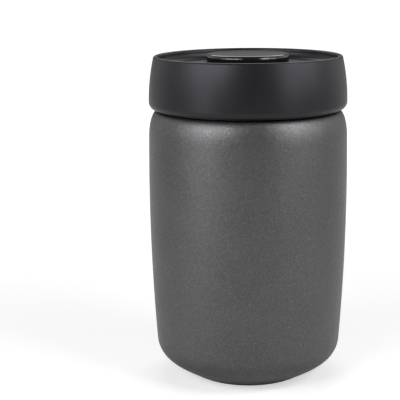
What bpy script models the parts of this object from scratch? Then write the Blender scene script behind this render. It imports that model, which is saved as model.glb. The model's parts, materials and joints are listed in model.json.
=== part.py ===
"""Vacuum coffee canister: a steel body, and a lid with a hand pump under its round button.

Metres, +Z up. The origin is on the axis, at the plane that the foot pad stands on.
Run with: blender --background --python part.py
"""

from math import cos, degrees, hypot, pi, radians, sin, sqrt, tan

import bmesh
import bpy
from mathutils import Vector
from mathutils.geometry import interpolate_bezier

# Turned pieces that nest share one count of sides, so their flats stay parallel.
SIDES = 36
SMALL_SIDES = 16
FILTER_SIDES = 32
SCREW_SIDES = 12
PORT_SIDES = 8
SMOOTH_ANGLE = radians(35)
MERGE_DISTANCE = 1e-6

# Clearances
SEAT_GAP = 0.0003
LID_GAP = 0.0007
BUTTON_CLEARANCE = 0.0005
SPRING_CLEARANCE = 0.0010
STOP_CLEARANCE = 0.0006
KEY_CLEARANCE = 0.0005
STEM_CLEARANCE = 0.0009
CAM_CLEARANCE = 0.0005

# Steel body
BODY_RADIUS = 0.0625
BODY_WIDEST_Z = 0.1240
BODY_WALL = 0.0008
BODY_TAPER = 0.0037
FOOT_Z = 0.0220
BASE_CORNER_WIDTH = 0.0200
BASE_EDGE_SLOPE = radians(32)
CORNER_FULLNESS = 0.55
SHOULDER_RISE = 0.0292
SHOULDER_WIDTH = 0.0056
SHOULDER_HEIGHT = 0.0165
MOUTH_SHARE = 0.8
NECK_HEIGHT = 0.0133
NECK_FILLET = 0.0022
RIM_BEAD_RADIUS = 0.0014
BEAD_END = -115
BEAD_STEPS = 6
NECK_STEPS = 3
SHOULDER_STEPS = 5
WALL_STEPS = 5
CORNER_STEPS = 6

# Foot pad
PAD_MARGIN = 0.0023
PAD_PROUD = 0.0014
PAD_RECESS = 0.0010
PAD_EDGE = 0.0005

# Lid shell
LID_HEIGHT = 0.0331
LID_INSET = 0.0005
LID_LEAN = radians(12.5)
LID_HEM_RADIUS = 0.0047
LID_RIM_RADIUS = 0.0015
LID_ROOF_DROP = 0.0074
LID_LIP = 0.0015
LID_WALL = 0.0022
RECESS_DEPTH = 0.0065
RECESS_FILLET = 0.0042
SNAP_CATCH = 0.0009
SNAP_HEIGHT = 0.0020
RIB_WIDTH = 0.0016
RIB_INSET = 0.0035
HEM_STEPS = 4
HEM_INNER_STEPS = 2
LID_WALL_STEPS = 4
LID_RIM_STEPS = 3
LIP_STEPS = 2
RECESS_STEPS = 4

# Lid base, which plugs the mouth
FLANGE_THICKNESS = 0.0020
PLUG_WALL = 0.0022
PLATE_THICKNESS = 0.0030
PLUG_LIP_HEIGHT = 0.0020
PLUG_LIP_WIDTH = 0.0012
INTAKE_RADIUS = 0.0095
VENT_RADIUS = 0.0020
GASKET_FLANGE = 0.0015
GASKET_FLANGE_WIDTH = 0.0030
GASKET_BAND_WIDTH = 0.0014
GASKET_BAND_HEIGHT = 0.0120
GASKET_LIP = 0.0009
GASKET_LIP_PLACES = (0.25, 0.75)
FILTER_RING_MARGIN = 0.0065
FILTER_RING_WALL = 0.0016
FILTER_RING_HEIGHT = 0.0025
FILTER_WALL = 0.0012
FILTER_SLOTS = 8
FILTER_SLOT_WIDTH = 0.0016
FILTER_SLOT_INNER = 0.0035

# Button
BUTTON_SHARE = 0.4112
BUTTON_PROUD = 0.0011
BUTTON_EDGE_RADIUS = 0.0021
BUTTON_RING_WIDTH = 0.0009
BUTTON_DISH_STEP = 0.0004
BUTTON_DISH_DEPTH = 0.0009
BUTTON_WALL = 0.0018
BUTTON_DECK = 0.0033
BUTTON_CATCH = 0.0005
BUTTON_EDGE_STEPS = 4
GUIDE_WALL = 0.0018
GUIDE_LENGTH = 0.0080
CORE_PLATE = 0.0024
ROD_RADIUS = 0.0060
ROD_BORE = 0.0034
ROD_FLOOR = 0.0030

# Pump
STROKE = 0.0080
CYLINDER_WALL = 0.0018
CYLINDER_FLOOR = 0.0022
CYLINDER_FLANGE_EDGE = 0.0040
COVER_WALL = 0.0010
COVER_TOP = 0.0020
COVER_SKIRT = 0.0040
PISTON_HEIGHT = 0.0055
PISTON_DISC = 0.0014
PISTON_GROOVE = 0.0030
VALVE_RADIUS = 0.0065
VALVE_HEIGHT = 0.0015
VALVE_EDGE = 0.0006
VALVE_STEM_RADIUS = 0.0012
VALVE_BULB_RADIUS = 0.0021
PORT_RADIUS = 0.0010
PORT_CIRCLE = 0.0042
PORTS = 6
SEAL_MARGIN = 0.0040
SEAL_RADIUS = 0.0008
SEAL_SIDES = 8
WIRE_RADIUS = 0.0006
SPRING_TURNS = 6
END_TURN_GAP = 0.0005
HELIX_STEPS = 10

# Release, worked by turning the button
RELEASE_TURN = radians(45)
RELEASE_LIFT = 0.0016
RAMP_STEPS = 8
RAMP_PAST = radians(8)
RELEASE_ANGLE = radians(-90)
RING_FLANGE_WIDTH = 0.0032
RING_FLANGE = 0.0020
KEYS = 3
KEY_WIDTH = 0.0034
KEY_DEPTH = 0.0016
KEY_ENGAGEMENT = 0.0035
STEM_RADIUS = 0.0014
STEM_FOOT = 0.0008
STEM_TIP = 0.0080
COLLAR_RADIUS = 0.0036
COLLAR_HEIGHT = 0.0015
RELEASE_SEAL_RADIUS = 0.0036
RELEASE_SEAL_HEIGHT = 0.0016
PEG_RADIUS = 0.0015
PEG_LENGTH = 0.0040
SMALL_WIRE_RADIUS = 0.0003
SMALL_SPRING_RADIUS = 0.0026
SMALL_SPRING_TURNS = 7

# Screws
SCREW_CLEARANCE = 0.0017
SCREWS = 4
SCREW_RADIUS = 0.0012
SCREW_LENGTH = 0.0070
SCREW_HEAD_RADIUS = 0.0026
SCREW_HEAD_HEIGHT = 0.0016
SCREW_DRIVE_RADIUS = 0.0012
SCREW_DRIVE_DEPTH = 0.0009
BOSS_WALL = 0.0020
BOSS_LENGTH = 0.0050

# Heights and radii that follow from the sizes above
SHOULDER_Z = BODY_WIDEST_Z + SHOULDER_RISE
SHOULDER_TOP_Z = SHOULDER_Z + SHOULDER_HEIGHT
RIM_Z = SHOULDER_TOP_Z + NECK_HEIGHT
LID_BOTTOM_Z = SHOULDER_TOP_Z + LID_GAP
LID_TOP_Z = LID_BOTTOM_Z + LID_HEIGHT
RECESS_Z = LID_TOP_Z - RECESS_DEPTH
RECESS_UNDER_Z = RECESS_Z - LID_WALL
FLANGE_UNDER_Z = RIM_Z + GASKET_FLANGE + 2 * SEAT_GAP
FLANGE_TOP_Z = FLANGE_UNDER_Z + FLANGE_THICKNESS
GASKET_BAND_Z = FLANGE_UNDER_Z - SEAT_GAP - GASKET_BAND_HEIGHT

BUTTON_TOP_Z = LID_TOP_Z + BUTTON_PROUD
DECK_UNDER_Z = BUTTON_TOP_Z - BUTTON_DECK
CORE_TOP_Z = DECK_UNDER_Z - SEAT_GAP
CORE_UNDER_Z = CORE_TOP_Z - CORE_PLATE
COVER_UNDER_Z = CORE_UNDER_Z - STROKE - STOP_CLEARANCE - COVER_TOP
CYLINDER_TOP_Z = COVER_UNDER_Z - SEAT_GAP
PISTON_TOP_Z = COVER_UNDER_Z - SEAT_GAP
PISTON_Z = PISTON_TOP_Z - PISTON_HEIGHT
PUMP_FLOOR_Z = PISTON_Z - STROKE - STOP_CLEARANCE - VALVE_HEIGHT - SEAT_GAP
PLATE_Z = min(
    PUMP_FLOOR_Z - CYLINDER_FLOOR - SEAT_GAP - PLATE_THICKNESS,
    GASKET_BAND_Z - SEAT_GAP - PLUG_LIP_HEIGHT,
)
PLATE_TOP_Z = PLATE_Z + PLATE_THICKNESS
CYLINDER_Z = PLATE_TOP_Z + SEAT_GAP
FLOOR_TOP_Z = CYLINDER_Z + CYLINDER_FLOOR
RING_Z = FLOOR_TOP_Z + SEAT_GAP
RING_TOP_Z = RECESS_Z - GUIDE_LENGTH - SEAT_GAP
SKIRT_Z = RING_Z + STROKE + STOP_CLEARANCE
KEY_TOP_Z = SKIRT_Z + KEY_ENGAGEMENT
SLOT_TOP_Z = KEY_TOP_Z + STROKE + KEY_CLEARANCE

FOOT_RADIUS = BODY_RADIUS - BODY_TAPER
BASE_FLAT_RADIUS = FOOT_RADIUS - BASE_CORNER_WIDTH
PAD_RADIUS = BASE_FLAT_RADIUS - PAD_MARGIN
MOUTH_RADIUS = BODY_RADIUS * MOUTH_SHARE
LID_FOOT_RADIUS = BODY_RADIUS - LID_INSET
LID_WALL_LOW_Z = LID_BOTTOM_Z + LID_HEM_RADIUS
LID_WALL_HIGH_Z = LID_TOP_Z - LID_RIM_RADIUS * (1 - sin(LID_LEAN))
LID_TAPER = (LID_WALL_HIGH_Z - LID_WALL_LOW_Z) * tan(LID_LEAN) / 2
BUTTON_RADIUS = BODY_RADIUS * BUTTON_SHARE
WELL_RADIUS = BUTTON_RADIUS + BUTTON_CLEARANCE
GUIDE_RADIUS = WELL_RADIUS + GUIDE_WALL
SKIRT_BORE = BUTTON_RADIUS - BUTTON_WALL
SPRING_OUTER = SKIRT_BORE - SPRING_CLEARANCE
COVER_RADIUS = SPRING_OUTER - 2 * WIRE_RADIUS - SPRING_CLEARANCE
CYLINDER_RADIUS = COVER_RADIUS - COVER_WALL - SEAT_GAP
BORE_RADIUS = CYLINDER_RADIUS - CYLINDER_WALL
PISTON_RADIUS = BORE_RADIUS - 2 * SEAT_GAP
RING_FLANGE_RADIUS = GUIDE_RADIUS + RING_FLANGE_WIDTH
SCREW_CIRCLE = RING_FLANGE_RADIUS + SCREW_CLEARANCE + SCREW_HEAD_RADIUS
CYLINDER_FLANGE_RADIUS = SCREW_CIRCLE + CYLINDER_FLANGE_EDGE
FILTER_RING_RADIUS = INTAKE_RADIUS + FILTER_RING_MARGIN
SEAL_CIRCLE = INTAKE_RADIUS + SEAL_MARGIN
STEM_CIRCLE = RING_FLANGE_RADIUS + STEM_CLEARANCE + STEM_RADIUS
STEM_PLACE = (STEM_CIRCLE * cos(RELEASE_ANGLE), STEM_CIRCLE * sin(RELEASE_ANGLE))
RELEASE_SEAL_Z = PLATE_TOP_Z + SEAT_GAP
STEM_FOOT_Z = RELEASE_SEAL_Z + RELEASE_SEAL_HEIGHT + SEAT_GAP
STEM_FOOT_TOP_Z = STEM_FOOT_Z + STEM_FOOT
CAM_Z = STEM_FOOT_TOP_Z + RELEASE_LIFT + SEAT_GAP
CAM_TOP_Z = CAM_Z + RING_FLANGE
COLLAR_Z = CAM_TOP_Z + CAM_CLEARANCE
PLUG_RADIUS = MOUTH_RADIUS - 2 * SEAT_GAP - GASKET_LIP - GASKET_BAND_WIDTH
HEM_INNER_RADIUS = LID_FOOT_RADIUS - LID_HEM_RADIUS

# Colours are linear: red, green, blue, roughness, metallic
GUNMETAL = (0.115, 0.115, 0.122, 0.48, 0.85)
SOFT_BLACK = (0.030, 0.030, 0.033, 0.62, 0.0)
GLOSS_BLACK = (0.008, 0.008, 0.009, 0.16, 0.0)
MOULDED_BLACK = (0.022, 0.022, 0.023, 0.45, 0.0)
BLACK_SILICONE = (0.010, 0.010, 0.010, 0.75, 0.0)
CLEAR_SILICONE = (0.62, 0.62, 0.60, 0.55, 0.0)
WHITE_ACETAL = (0.70, 0.70, 0.68, 0.35, 0.0)
GREY_NYLON = (0.24, 0.24, 0.25, 0.5, 0.0)
BRIGHT_STEEL = (0.56, 0.56, 0.57, 0.28, 1.0)


def clear_scene():
    for obj in list(bpy.data.objects):
        bpy.data.objects.remove(obj)


def make_material(name, finish):
    """A Principled material from (red, green, blue, roughness, metallic)."""
    material = bpy.data.materials.new(name)
    material.use_nodes = True
    shader = material.node_tree.nodes["Principled BSDF"]
    shader.inputs["Base Color"].default_value = (*finish[:3], 1)
    shader.inputs["Roughness"].default_value = finish[3]
    shader.inputs["Metallic"].default_value = finish[4]
    return material


def add_object(name, data, finish, parent=None, place=(0, 0)):
    """A piece with its own material. place is where its origin stands on the XY plane."""
    obj = bpy.data.objects.new(name, data)
    bpy.context.scene.collection.objects.link(obj)
    obj.location = (place[0], place[1], 0)
    obj.parent = parent
    data.materials.append(make_material(name, finish))
    return obj


def add_axis(name, parent=None):
    """An empty on the main axis, which the pieces of one moving group hang from."""
    empty = bpy.data.objects.new(name, None)
    bpy.context.scene.collection.objects.link(empty)
    empty.parent = parent
    return empty


def finish_mesh(name, bm):
    """Turns the bmesh into a mesh with its faces out, shaded smooth up to SMOOTH_ANGLE."""
    bmesh.ops.recalc_face_normals(bm, faces=bm.faces)
    mesh = bpy.data.meshes.new(name)
    bm.to_mesh(mesh)
    bm.free()
    mesh.shade_smooth()
    mesh.set_sharp_from_angle(angle=SMOOTH_ANGLE)
    return mesh


def turned_mesh(name, profile, sides=SIDES):
    """Spins a closed profile of (radius, z) points. Points on the axis close the ends."""
    bm = bmesh.new()
    verts = [bm.verts.new((radius, 0, z)) for radius, z in profile]
    edges = []
    for first, second in zip(verts, verts[1:] + verts[:1]):
        if first.co.x > 0 or second.co.x > 0:
            edges.append(bm.edges.new((first, second)))
    bmesh.ops.spin(
        bm, geom=verts + edges, cent=(0, 0, 0), axis=(0, 0, 1), angle=2 * pi,
        steps=sides, use_merge=True,
    )
    bmesh.ops.remove_doubles(bm, verts=bm.verts, dist=MERGE_DISTANCE)
    return finish_mesh(name, bm)


def add_turned(name, profile, finish, parent=None, place=(0, 0), sides=SIDES):
    return add_object(name, turned_mesh(name, profile, sides), finish, parent, place)


def arc(centre, radii, start, end, steps):
    """Points of an elliptic arc from the start angle to the end angle, in degrees."""
    points = []
    for i in range(steps + 1):
        angle = radians(start + (end - start) * i / steps)
        points.append((centre[0] + radii[0] * cos(angle), centre[1] + radii[1] * sin(angle)))
    return points


def offset(points, distance):
    """The open profile moved to its right-hand side by distance, with mitred corners."""
    directions = []
    for (r0, z0), (r1, z1) in zip(points, points[1:]):
        length = hypot(r1 - r0, z1 - z0)
        directions.append(((r1 - r0) / length, (z1 - z0) / length))
    moved = []
    for i, (radius, z) in enumerate(points):
        before = directions[max(i - 1, 0)]
        after = directions[min(i, len(directions) - 1)]
        normal = Vector((before[1] + after[1], -before[0] - after[0])).normalized()
        share = distance / (normal.x * after[1] - normal.y * after[0])
        moved.append((radius + normal.x * share, z + normal.y * share))
    return moved


def helper(name, mesh, place=(0, 0, 0), turn=0.0):
    """A hidden solid for a Boolean."""
    obj = bpy.data.objects.new(name, mesh)
    bpy.context.scene.collection.objects.link(obj)
    obj.location = place
    obj.rotation_euler.z = turn
    obj.hide_render = True
    obj.display_type = "WIRE"
    return obj


def combine(target, tool, operation):
    modifier = target.modifiers.new(tool.name, "BOOLEAN")
    modifier.operation = operation
    modifier.object = tool
    modifier.solver = "EXACT"


def cut(target, tool):
    combine(target, tool, "DIFFERENCE")


def fuse(target, tool):
    combine(target, tool, "UNION")


def rod_mesh(name, radius, low, high, sides=SMALL_SIDES):
    return turned_mesh(name, [(0, high), (radius, high), (radius, low), (0, low)], sides)


def box_mesh(name, low, high):
    bm = bmesh.new()
    bmesh.ops.create_cube(bm, size=1)
    for vert in bm.verts:
        for axis in range(3):
            vert.co[axis] = high[axis] if vert.co[axis] > 0 else low[axis]
    return finish_mesh(name, bm)


def around(count, start=0.0):
    """Evenly spaced angles round the axis."""
    return [start + 2 * pi * i / count for i in range(count)]


def on_circle(radius, angle):
    return (radius * cos(angle), radius * sin(angle))


def helix(name, radius, wire, low, high, turns, parent, place=(0, 0)):
    """A compression spring between two heights, with a closer turn at each end."""
    count = turns * HELIX_STEPS
    dead = 2 * wire + END_TURN_GAP
    bottom = low + wire
    top = high - wire
    live = (top - bottom - 2 * dead) / (turns - 2)
    curve = bpy.data.curves.new(name, "CURVE")
    curve.dimensions = "3D"
    curve.bevel_depth = wire
    curve.bevel_resolution = 1
    curve.use_fill_caps = True
    spline = curve.splines.new("POLY")
    spline.points.add(count)
    for i in range(count + 1):
        turn = i / HELIX_STEPS
        z = bottom + dead * min(turn, 1) + live * min(max(turn - 1, 0), turns - 2)
        z += dead * max(turn - turns + 1, 0)
        x, y = on_circle(radius, 2 * pi * turn)
        spline.points[i].co = (x, y, z, 1)
    return add_object(name, curve, BRIGHT_STEEL, parent, place)


def barrel_curve():
    """Radius of the long arc that the barrel's side follows."""
    sag = BODY_RADIUS - FOOT_RADIUS
    height = BODY_WIDEST_Z - FOOT_Z
    return (height**2 + sag**2) / (2 * sag)


def wall_radius(z):
    """Outside radius of the barrel at a height between its foot and its shoulder."""
    curve = barrel_curve()
    return BODY_RADIUS - curve + sqrt(curve**2 - (z - BODY_WIDEST_Z) ** 2)


def body_outside():
    """The steel's outer face, from the bead at the mouth down to the middle of the base."""
    neck = MOUTH_RADIUS + BODY_WALL
    bead = (MOUTH_RADIUS + RIM_BEAD_RADIUS, RIM_Z - RIM_BEAD_RADIUS)
    points = arc(bead, (RIM_BEAD_RADIUS, RIM_BEAD_RADIUS), 180, BEAD_END, BEAD_STEPS)
    points += arc(
        (neck + NECK_FILLET, SHOULDER_TOP_Z + NECK_FILLET), (NECK_FILLET, NECK_FILLET), 180, 270,
        NECK_STEPS,
    )
    shoulder = (wall_radius(SHOULDER_Z) - SHOULDER_WIDTH, SHOULDER_Z)
    points += arc(shoulder, (SHOULDER_WIDTH, SHOULDER_HEIGHT), 90, 0, SHOULDER_STEPS)
    for i in range(1, WALL_STEPS):
        z = SHOULDER_Z + (FOOT_Z - SHOULDER_Z) * i / WALL_STEPS
        points.append((wall_radius(z), z))
    points += base_corner()
    recess = PAD_RADIUS + SEAT_GAP
    points += [(recess, PAD_PROUD), (recess, PAD_PROUD + PAD_RECESS), (0, PAD_PROUD + PAD_RECESS)]
    return points


def base_corner():
    """The large corner between the barrel and the base, as one cubic curve."""
    width = FOOT_RADIUS - BASE_FLAT_RADIUS
    height = FOOT_Z - PAD_PROUD
    lean = (BODY_WIDEST_Z - FOOT_Z) / barrel_curve()
    reach = CORNER_FULLNESS
    curve = interpolate_bezier(
        Vector((FOOT_RADIUS, FOOT_Z)),
        Vector((FOOT_RADIUS - height * reach * lean, FOOT_Z - height * reach)),
        Vector((
            BASE_FLAT_RADIUS + width * reach * cos(BASE_EDGE_SLOPE),
            PAD_PROUD + width * reach * sin(BASE_EDGE_SLOPE),
        )),
        Vector((BASE_FLAT_RADIUS, PAD_PROUD)),
        CORNER_STEPS + 1,
    )
    return [tuple(point) for point in curve]


def make_body():
    outside = body_outside()
    inside = offset(outside[BEAD_STEPS:], BODY_WALL)
    inside[0] = (MOUTH_RADIUS, inside[0][1])
    inside[1] = (MOUTH_RADIUS, inside[1][1])
    inside[-1] = (0, inside[-1][1])
    add_turned("canister_body", outside + inside[::-1][:-1], GUNMETAL)
    low = PAD_EDGE
    top = PAD_PROUD + PAD_RECESS - SEAT_GAP
    pad = [(0, top), (PAD_RADIUS, top), (PAD_RADIUS, low), (PAD_RADIUS - PAD_EDGE, 0), (0, 0)]
    add_turned("base_pad", pad, BLACK_SILICONE)


def lid_wall(z):
    """Outer radius of the lid's side wall, which leaves the hem upright and leans in to the rim."""
    share = (z - LID_WALL_LOW_Z) / (LID_WALL_HIGH_Z - LID_WALL_LOW_Z)
    return LID_FOOT_RADIUS - LID_TAPER * share**2


def lid_side_inner(z):
    """Inner radius of the lid's side wall at a height between its hem and its roof."""
    return lid_wall(z) - LID_WALL


def lid_side():
    """The lid's outer face, from the inner edge of its hem up to the recess's lip."""
    hem, rim = LID_HEM_RADIUS, LID_RIM_RADIUS
    points = arc((HEM_INNER_RADIUS, LID_WALL_LOW_Z), (hem, hem), -90, 0, HEM_STEPS)
    for i in range(1, LID_WALL_STEPS):
        z = LID_WALL_LOW_Z + (LID_WALL_HIGH_Z - LID_WALL_LOW_Z) * i / LID_WALL_STEPS
        points.append((lid_wall(z), z))
    centre = (lid_wall(LID_WALL_HIGH_Z) - rim * cos(LID_LEAN), LID_TOP_Z - rim)
    points += arc(centre, (rim, rim), degrees(LID_LEAN), 90, LID_RIM_STEPS)
    return points


def make_lid_shell(lid):
    side = lid_side()
    lip = side[-1][0] - LID_LIP
    floor = RECESS_FILLET
    profile = side + arc((side[-1][0], LID_TOP_Z - LID_LIP), (LID_LIP, LID_LIP), 90, 180, LIP_STEPS)[1:]
    profile += arc((lip - floor, RECESS_Z + floor), (floor, floor), 0, -90, RECESS_STEPS)
    profile += [(WELL_RADIUS, RECESS_Z), (WELL_RADIUS, RECESS_Z - GUIDE_LENGTH)]
    profile += [(GUIDE_RADIUS, RECESS_Z - GUIDE_LENGTH), (GUIDE_RADIUS, RECESS_UNDER_Z)]

    seat = FLANGE_TOP_Z + SEAT_GAP
    rib = lid_side_inner(seat) - RIB_INSET
    profile += [(rib - RIB_WIDTH, RECESS_UNDER_Z), (rib - RIB_WIDTH, seat), (rib, seat)]
    roof = side[-1][0] - LID_WALL / 2
    profile += [(rib, RECESS_UNDER_Z), (roof, RECESS_UNDER_Z + LID_WALL)]
    wall_top = LID_TOP_Z - LID_ROOF_DROP
    profile.append((lid_side_inner(wall_top), wall_top))

    snap_top = FLANGE_UNDER_Z - SEAT_GAP
    snap = lid_side_inner(snap_top) - SNAP_CATCH
    profile += [(lid_side_inner(snap_top), snap_top), (snap, snap_top)]
    profile.append((snap, snap_top - SNAP_HEIGHT / 2))
    profile.append((lid_side_inner(snap_top - SNAP_HEIGHT), snap_top - SNAP_HEIGHT))
    inner = LID_HEM_RADIUS - LID_WALL
    hem = (HEM_INNER_RADIUS, LID_BOTTOM_Z + LID_HEM_RADIUS)
    profile += arc(hem, (inner, inner), 0, -90, HEM_INNER_STEPS)
    shell = add_turned("lid_shell", profile, SOFT_BLACK, lid)
    peg = rod_mesh("peg", PEG_RADIUS, RECESS_UNDER_Z - PEG_LENGTH, RECESS_UNDER_Z + LID_WALL / 2)
    fuse(shell, helper("spring_peg", peg, (*STEM_PLACE, 0)))


def make_lid_base(lid):
    edge = lid_side_inner(FLANGE_TOP_Z) - SEAT_GAP
    lip = PLUG_RADIUS + PLUG_LIP_WIDTH
    lip_top = GASKET_BAND_Z - SEAT_GAP
    groove = SEAL_RADIUS + SEAT_GAP
    groove_floor = PLATE_TOP_Z - 2 * SEAL_RADIUS - SEAT_GAP
    ring = FILTER_RING_RADIUS
    ring_low = PLATE_Z - FILTER_RING_HEIGHT
    profile = [
        (edge, FLANGE_TOP_Z), (edge, FLANGE_UNDER_Z), (PLUG_RADIUS, FLANGE_UNDER_Z),
        (PLUG_RADIUS, lip_top), (lip, lip_top), (lip, PLATE_Z + PLUG_LIP_WIDTH),
        (PLUG_RADIUS, PLATE_Z), (ring, PLATE_Z), (ring, ring_low),
        (ring - FILTER_RING_WALL, ring_low), (ring - FILTER_RING_WALL, PLATE_Z),
        (INTAKE_RADIUS, PLATE_Z), (INTAKE_RADIUS, PLATE_TOP_Z),
        (SEAL_CIRCLE - groove, PLATE_TOP_Z), (SEAL_CIRCLE - groove, groove_floor),
        (SEAL_CIRCLE + groove, groove_floor), (SEAL_CIRCLE + groove, PLATE_TOP_Z),
        (PLUG_RADIUS - PLUG_WALL, PLATE_TOP_Z), (PLUG_RADIUS - PLUG_WALL, FLANGE_TOP_Z),
    ]
    base = add_turned("lid_base", profile, MOULDED_BLACK, lid)
    hole = SCREW_RADIUS + SEAT_GAP
    depth = FLOOR_TOP_Z + SEAT_GAP - SCREW_LENGTH - SEAT_GAP
    boss_low = min(PLATE_Z - BOSS_LENGTH, depth - BOSS_WALL)
    boss = rod_mesh("boss", hole + BOSS_WALL, boss_low, PLATE_Z + PLATE_THICKNESS / 2)
    pilot = rod_mesh("pilot", hole, depth, PLATE_TOP_Z + PLATE_THICKNESS)
    for i, angle in enumerate(around(SCREWS, pi / SCREWS)):
        place = (*on_circle(SCREW_CIRCLE, angle), 0)
        fuse(base, helper(f"screw_boss_{i}", boss, place))
        cut(base, helper(f"screw_pilot_{i}", pilot, place))
    vent = rod_mesh("vent", VENT_RADIUS, PLATE_Z - PLATE_THICKNESS, PLATE_TOP_Z + PLATE_THICKNESS)
    cut(base, helper("vent_hole", vent, (*STEM_PLACE, 0)))


def make_gasket(lid):
    inner = PLUG_RADIUS + SEAT_GAP
    band = inner + GASKET_BAND_WIDTH
    top = FLANGE_UNDER_Z - SEAT_GAP
    under = top - GASKET_FLANGE
    low = GASKET_BAND_Z
    tip = MOUTH_RADIUS - SEAT_GAP
    profile = [(inner, top), (MOUTH_RADIUS + GASKET_FLANGE_WIDTH, top)]
    profile += [(MOUTH_RADIUS + GASKET_FLANGE_WIDTH, under), (band, under)]
    height = under - low
    for share in GASKET_LIP_PLACES:
        z = under - height * share
        profile += [(band, z + GASKET_LIP), (tip, z), (band, z - GASKET_LIP)]
    profile += [(band, low), (inner, low)]
    add_turned("main_gasket", profile, CLEAR_SILICONE, lid)


def make_filter(lid):
    inner = FILTER_RING_RADIUS + SEAT_GAP
    outer = inner + FILTER_WALL
    top = PLATE_Z - SEAT_GAP
    floor = PLATE_Z - FILTER_RING_HEIGHT - SEAT_GAP
    low = floor - FILTER_WALL
    profile = [(0, floor), (inner, floor), (inner, top), (outer, top), (outer, low), (0, low)]
    cover = add_turned("filter_cover", profile, GREY_NYLON, lid, sides=FILTER_SIDES)
    half = FILTER_SLOT_WIDTH / 2
    reach = FILTER_RING_RADIUS - FILTER_RING_WALL - half
    slot = box_mesh(
        "slot", (FILTER_SLOT_INNER, -half, low - FILTER_WALL), (reach, half, floor + FILTER_WALL)
    )
    for i, angle in enumerate(around(FILTER_SLOTS)):
        cut(cover, helper(f"filter_slot_{i}", slot, turn=angle))


def make_cylinder(lid):
    profile = [
        (0, FLOOR_TOP_Z), (BORE_RADIUS, FLOOR_TOP_Z), (BORE_RADIUS, CYLINDER_TOP_Z),
        (CYLINDER_RADIUS, CYLINDER_TOP_Z), (CYLINDER_RADIUS, FLOOR_TOP_Z),
        (CYLINDER_FLANGE_RADIUS, FLOOR_TOP_Z), (CYLINDER_FLANGE_RADIUS, CYLINDER_Z),
        (0, CYLINDER_Z),
    ]
    cylinder = add_turned("pump_cylinder", profile, WHITE_ACETAL, lid)
    low, high = CYLINDER_Z - CYLINDER_FLOOR, FLOOR_TOP_Z + CYLINDER_FLOOR
    port = rod_mesh("port", PORT_RADIUS, low, high, PORT_SIDES)
    for i, angle in enumerate(around(PORTS)):
        place = (*on_circle(PORT_CIRCLE, angle), 0)
        cut(cylinder, helper(f"intake_port_{i}", port, place))
    middle = rod_mesh("middle", VALVE_STEM_RADIUS + SEAT_GAP, low, high)
    cut(cylinder, helper("valve_hole", middle))
    hole = rod_mesh("hole", SCREW_RADIUS + SEAT_GAP, low, high)
    for i, angle in enumerate(around(SCREWS, pi / SCREWS)):
        cut(cylinder, helper(f"screw_hole_{i}", hole, (*on_circle(SCREW_CIRCLE, angle), 0)))
    window = rod_mesh("window", RELEASE_SEAL_RADIUS + KEY_CLEARANCE, low, high)
    cut(cylinder, helper("seal_window", window, (*STEM_PLACE, 0)))


def make_pump_trim(lid):
    """The cylinder's cover, its ring seal and the one-way valve in its floor."""
    inner = ROD_RADIUS + KEY_CLEARANCE
    top = COVER_UNDER_Z + COVER_TOP
    low = COVER_UNDER_Z - COVER_SKIRT
    skirt = COVER_RADIUS - COVER_WALL
    profile = [(inner, top), (COVER_RADIUS, top), (COVER_RADIUS, low), (skirt, low)]
    profile += [(skirt, COVER_UNDER_Z), (inner, COVER_UNDER_Z)]
    add_turned("cylinder_cover", profile, WHITE_ACETAL, lid)

    centre = (SEAL_CIRCLE, PLATE_TOP_Z - SEAL_RADIUS)
    ring = arc(centre, (SEAL_RADIUS, SEAL_RADIUS), 0, -360, SEAL_SIDES)[:-1]
    add_turned("cylinder_seal", ring, BLACK_SILICONE, lid)

    seat = FLOOR_TOP_Z + SEAT_GAP
    under = CYLINDER_Z - SEAT_GAP
    valve = [
        (0, seat + VALVE_HEIGHT), (VALVE_RADIUS / 2, seat + VALVE_HEIGHT),
        (VALVE_RADIUS, seat + VALVE_EDGE), (VALVE_RADIUS, seat), (VALVE_STEM_RADIUS, seat),
        (VALVE_STEM_RADIUS, under), (VALVE_BULB_RADIUS, under),
        (VALVE_STEM_RADIUS, under - VALVE_BULB_RADIUS), (0, under - VALVE_BULB_RADIUS),
    ]
    add_turned("intake_valve", valve, CLEAR_SILICONE, lid, sides=SMALL_SIDES)


def add_screw(name, seat, length, parent, place=(0, 0)):
    """A pan-head screw whose head rests on seat, with a socket in the head."""
    head = seat + SCREW_HEAD_HEIGHT
    socket = head - SCREW_DRIVE_DEPTH
    profile = [
        (0, socket), (SCREW_DRIVE_RADIUS, socket), (SCREW_DRIVE_RADIUS, head),
        (SCREW_HEAD_RADIUS - SCREW_HEAD_HEIGHT / 3, head),
        (SCREW_HEAD_RADIUS, head - SCREW_HEAD_HEIGHT / 3), (SCREW_HEAD_RADIUS, seat),
        (SCREW_RADIUS, seat), (SCREW_RADIUS, seat - length), (0, seat - length),
    ]
    add_turned(name, profile, BRIGHT_STEEL, parent, place, sides=SCREW_SIDES)


def make_cylinder_screws(lid):
    for i, angle in enumerate(around(SCREWS, pi / SCREWS)):
        place = on_circle(SCREW_CIRCLE, angle)
        add_screw(f"cylinder_screw_{i + 1}", FLOOR_TOP_Z + SEAT_GAP, SCREW_LENGTH, lid, place)


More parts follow.
